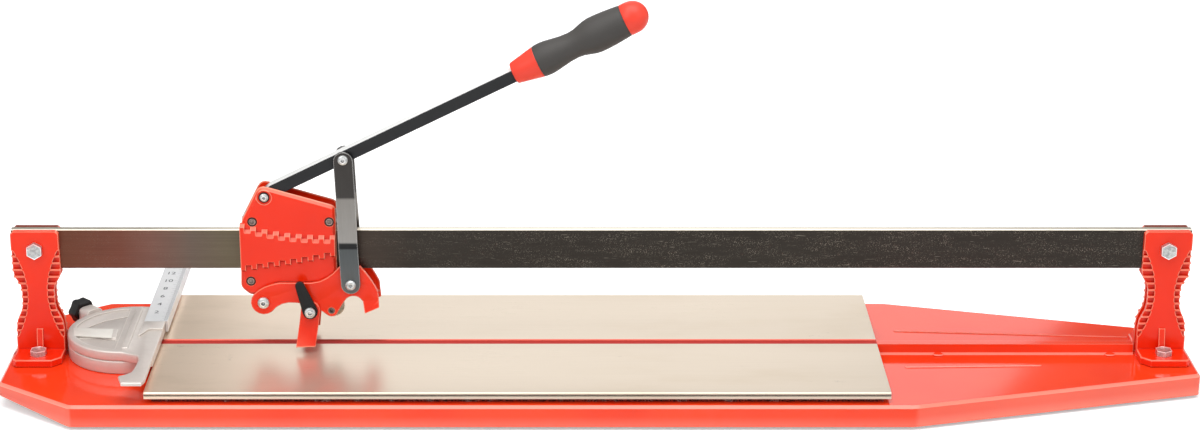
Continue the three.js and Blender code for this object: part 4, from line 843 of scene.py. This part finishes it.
# Painted highlight on the sheared edges.
edge_highlight = link_steel.near(1.2 * MM, inside=True).over(0.1, 0.45)
link_steel.set(
    Base_Color=link_steel.mix(edge_highlight * 0.8, link_steel.mix(
        (0.5 * grind + 0.5 * haze) * 0.35, height, shade("2c2b2a")), shade("d9d8d6")),
    Roughness=0.3 + 0.15 * grind)
link_steel.bump(grind, 0.03 * MM, 0.5, round_edges=0.6 * MM)
for side in ("front", "rear"):
    strip = copy_of(f"link_{side}")
    round_over(strip, 0.6 * MM, 3, above=50.0)
    place(f"bent_link_{side}", strip, link_steel, "links", f"link_{side}", smooth=50.0)

# ---- arm plates
# Two blanked steel plates, enamelled red. They carry the wheel, the feet and the links' studs, and
# each has a tail folded outwards.

for side in ("front", "rear"):
    plate = copy_of(f"arm_plate_{side}")
    round_over(plate, 0.3 * MM, 2, above=50.0)
    place(f"arm_{side}", plate, cast_enamel, "arm", f"arm_plate_{side}", smooth=40.0)

# ---- scoring wheel, axle and spacers
# A ground tool-steel wheel with a bevelled edge, free on its axle between two plated spacers. The
# axle is of the same brownish oiled steel as the bearings' screws.

# The wheel's pale edges are a painted highlight, and painted shade darkens its hollows.
tool_steel = plated("tool_steel", "tool_steel", "a59d90", "7a7266", "d8d2c6", 0.2)
for node, body, finish in (("scoring_wheel", "wheel", tool_steel), ("wheel_axle", "arm", dark_steel),
                           ("wheel_spacer_front", "arm", zinc), ("wheel_spacer_rear", "arm", zinc)):
    turned = copy_of(node)
    place(node.replace("wheel", "cutter"), turned, finish, body, node, smooth=30.0)

# ---- breaker feet and toggle
# Two bent strips press on the scored tile. They are folded up out of the way with the black
# plastic toggle on the front.

for side in ("front", "rear"):
    foot = copy_of(f"breaker_foot_{side}")
    round_over(foot, 0.5 * MM, 2, above=50.0)
    place(f"pressing_foot_{side}", foot, cast_enamel, "breaker", f"breaker_foot_{side}", smooth=50.0)
toggle = copy_of("toggle_lever")
round_over(toggle, 0.6 * MM, 3, above=38.0)
place("black_toggle", toggle, black_plastic, "breaker", "toggle_lever", smooth=45.0)

# ---- floor, light and camera
# A plain pale floor under a white sky. A broad lamp hangs overhead, with a key lamp at the left
# front, a fill lamp at the right front and a weak lamp behind. Two dark cards behind the object show
# only in its gloss.

floor_paint = bpy.data.materials.new("floor")
floor_paint.use_nodes = True
floor_tree = floor_paint.node_tree
floor_shader = floor_tree.nodes["Principled BSDF"]
floor_shader.inputs["Base Color"].default_value = (0.94, 0.94, 0.94, 1.0)
floor_shader.inputs["Roughness"].default_value = 0.9
floor_shader.inputs["Specular IOR Level"].default_value = 0.1
floor_shader.inputs["Emission Color"].default_value = (1.0, 1.0, 1.0, 1.0)
floor_path = floor_tree.nodes.new("ShaderNodeLightPath")
floor_glow = floor_tree.nodes.new("ShaderNodeMath")
floor_glow.operation = "MULTIPLY"
floor_glow.inputs[1].default_value = 0.4
floor_tree.links.new(floor_path.outputs["Is Camera Ray"], floor_glow.inputs[0])
floor_tree.links.new(floor_glow.outputs[0], floor_shader.inputs["Emission Strength"])
bpy.ops.mesh.primitive_plane_add(size=30.0, location=(0, 0, 0))
floor = bpy.context.object
floor.name = "floor"
floor.data.materials.append(floor_paint)

world = bpy.data.worlds.new("studio")
bpy.context.scene.world = world
world.use_nodes = True
sky = world.node_tree
backdrop = sky.nodes["Background"]
path = sky.nodes.new("ShaderNodeLightPath")
seen = path.outputs["Is Camera Ray"]
for ray in ("Is Glossy Ray", "Is Transmission Ray"):
    either = sky.nodes.new("ShaderNodeMath")
    either.operation = "MAXIMUM"
    sky.links.new(seen, either.inputs[0])
    sky.links.new(path.outputs[ray], either.inputs[1])
    seen = either.outputs[0]
level = sky.nodes.new("ShaderNodeMapRange")
level.inputs["To Min"].default_value = 0.5
level.inputs["To Max"].default_value = 1.0
sky.links.new(seen, level.inputs["Value"])
sky.links.new(level.outputs[0], backdrop.inputs["Strength"])
backdrop.inputs["Color"].default_value = (1.0, 1.0, 1.0, 1.0)


def lamp(name, energy, size, place_at, aim_at):
    """A rectangular lamp at one point, aimed at another."""
    light = bpy.data.lights.new(name, "AREA")
    light.energy, light.shape, light.size, light.size_y = energy, "RECTANGLE", size[0], size[1]
    lamp_object = bpy.data.objects.new(name, light)
    bpy.context.scene.collection.objects.link(lamp_object)
    lamp_object.location = place_at
    lamp_object.rotation_euler = (Vector(aim_at) - Vector(place_at)).to_track_quat("-Z", "Y").to_euler()


card_paint = bpy.data.materials.new("card")
card_paint.use_nodes = True
card_shader = card_paint.node_tree.nodes["Principled BSDF"]
card_shader.inputs["Base Color"].default_value = (0.15, 0.15, 0.15, 1.0)
card_shader.inputs["Roughness"].default_value = 0.9
card_distance, card_top, card_side = 1.43, 1.6, 2.6


def dark_card(name, corners):
    """A card behind the object, seen only in its gloss. Its corners are (x, z)."""
    sheet = bmesh.new()
    sheet.faces.new([sheet.verts.new((x, card_distance, z)) for x, z in corners])
    mesh = bpy.data.meshes.new(name)
    sheet.to_mesh(mesh)
    sheet.free()
    mesh.materials.append(card_paint)
    card = bpy.data.objects.new(name, mesh)
    bpy.context.scene.collection.objects.link(card)
    card.visible_camera = card.visible_diffuse = card.visible_shadow = card.visible_transmission = False


dark_card("card_right", [(1.139, 0.0), (card_side, 0.0), (card_side, card_top), (0.0, card_top)])
dark_card("card_left", [(-card_side, 0.0), (-0.52, 0.0), (-0.52, card_top), (-card_side, card_top)])

lamp("back", 2.7, (2.4, 1.0), (0.0, 1.6, 0.7), (0.0, 0.0, 0.1))
lamp("overhead", 34.0, (2.4, 1.6), (0.0, -0.45, 2.1), (0.0, -0.05, 0.05))
lamp("key", 12.0, (1.4, 1.0), (-1.4, -1.8, 1.6), (0.0, 0.0, 0.05))
lamp("fill", 6.0, (1.4, 1.4), (1.9, -1.5, 1.3), (0.1, 0.0, 0.1))

eye_distance, eye_height, look_down = 2.2522, 0.9512, 19.5
camera_data = bpy.data.cameras.new("camera")
camera_data.sensor_width, camera_data.lens = 36.0, 81.0
camera_data.shift_x = 0.038333
camera = bpy.data.objects.new("camera", camera_data)
bpy.context.scene.collection.objects.link(camera)
camera.location = (-0.042, cut_line - eye_distance, eye_height)
camera.rotation_euler = Euler((radians(90 - look_down), 0.0, 0.0))
bpy.context.scene.camera = camera
bpy.context.scene.view_settings.view_transform = "Standard"
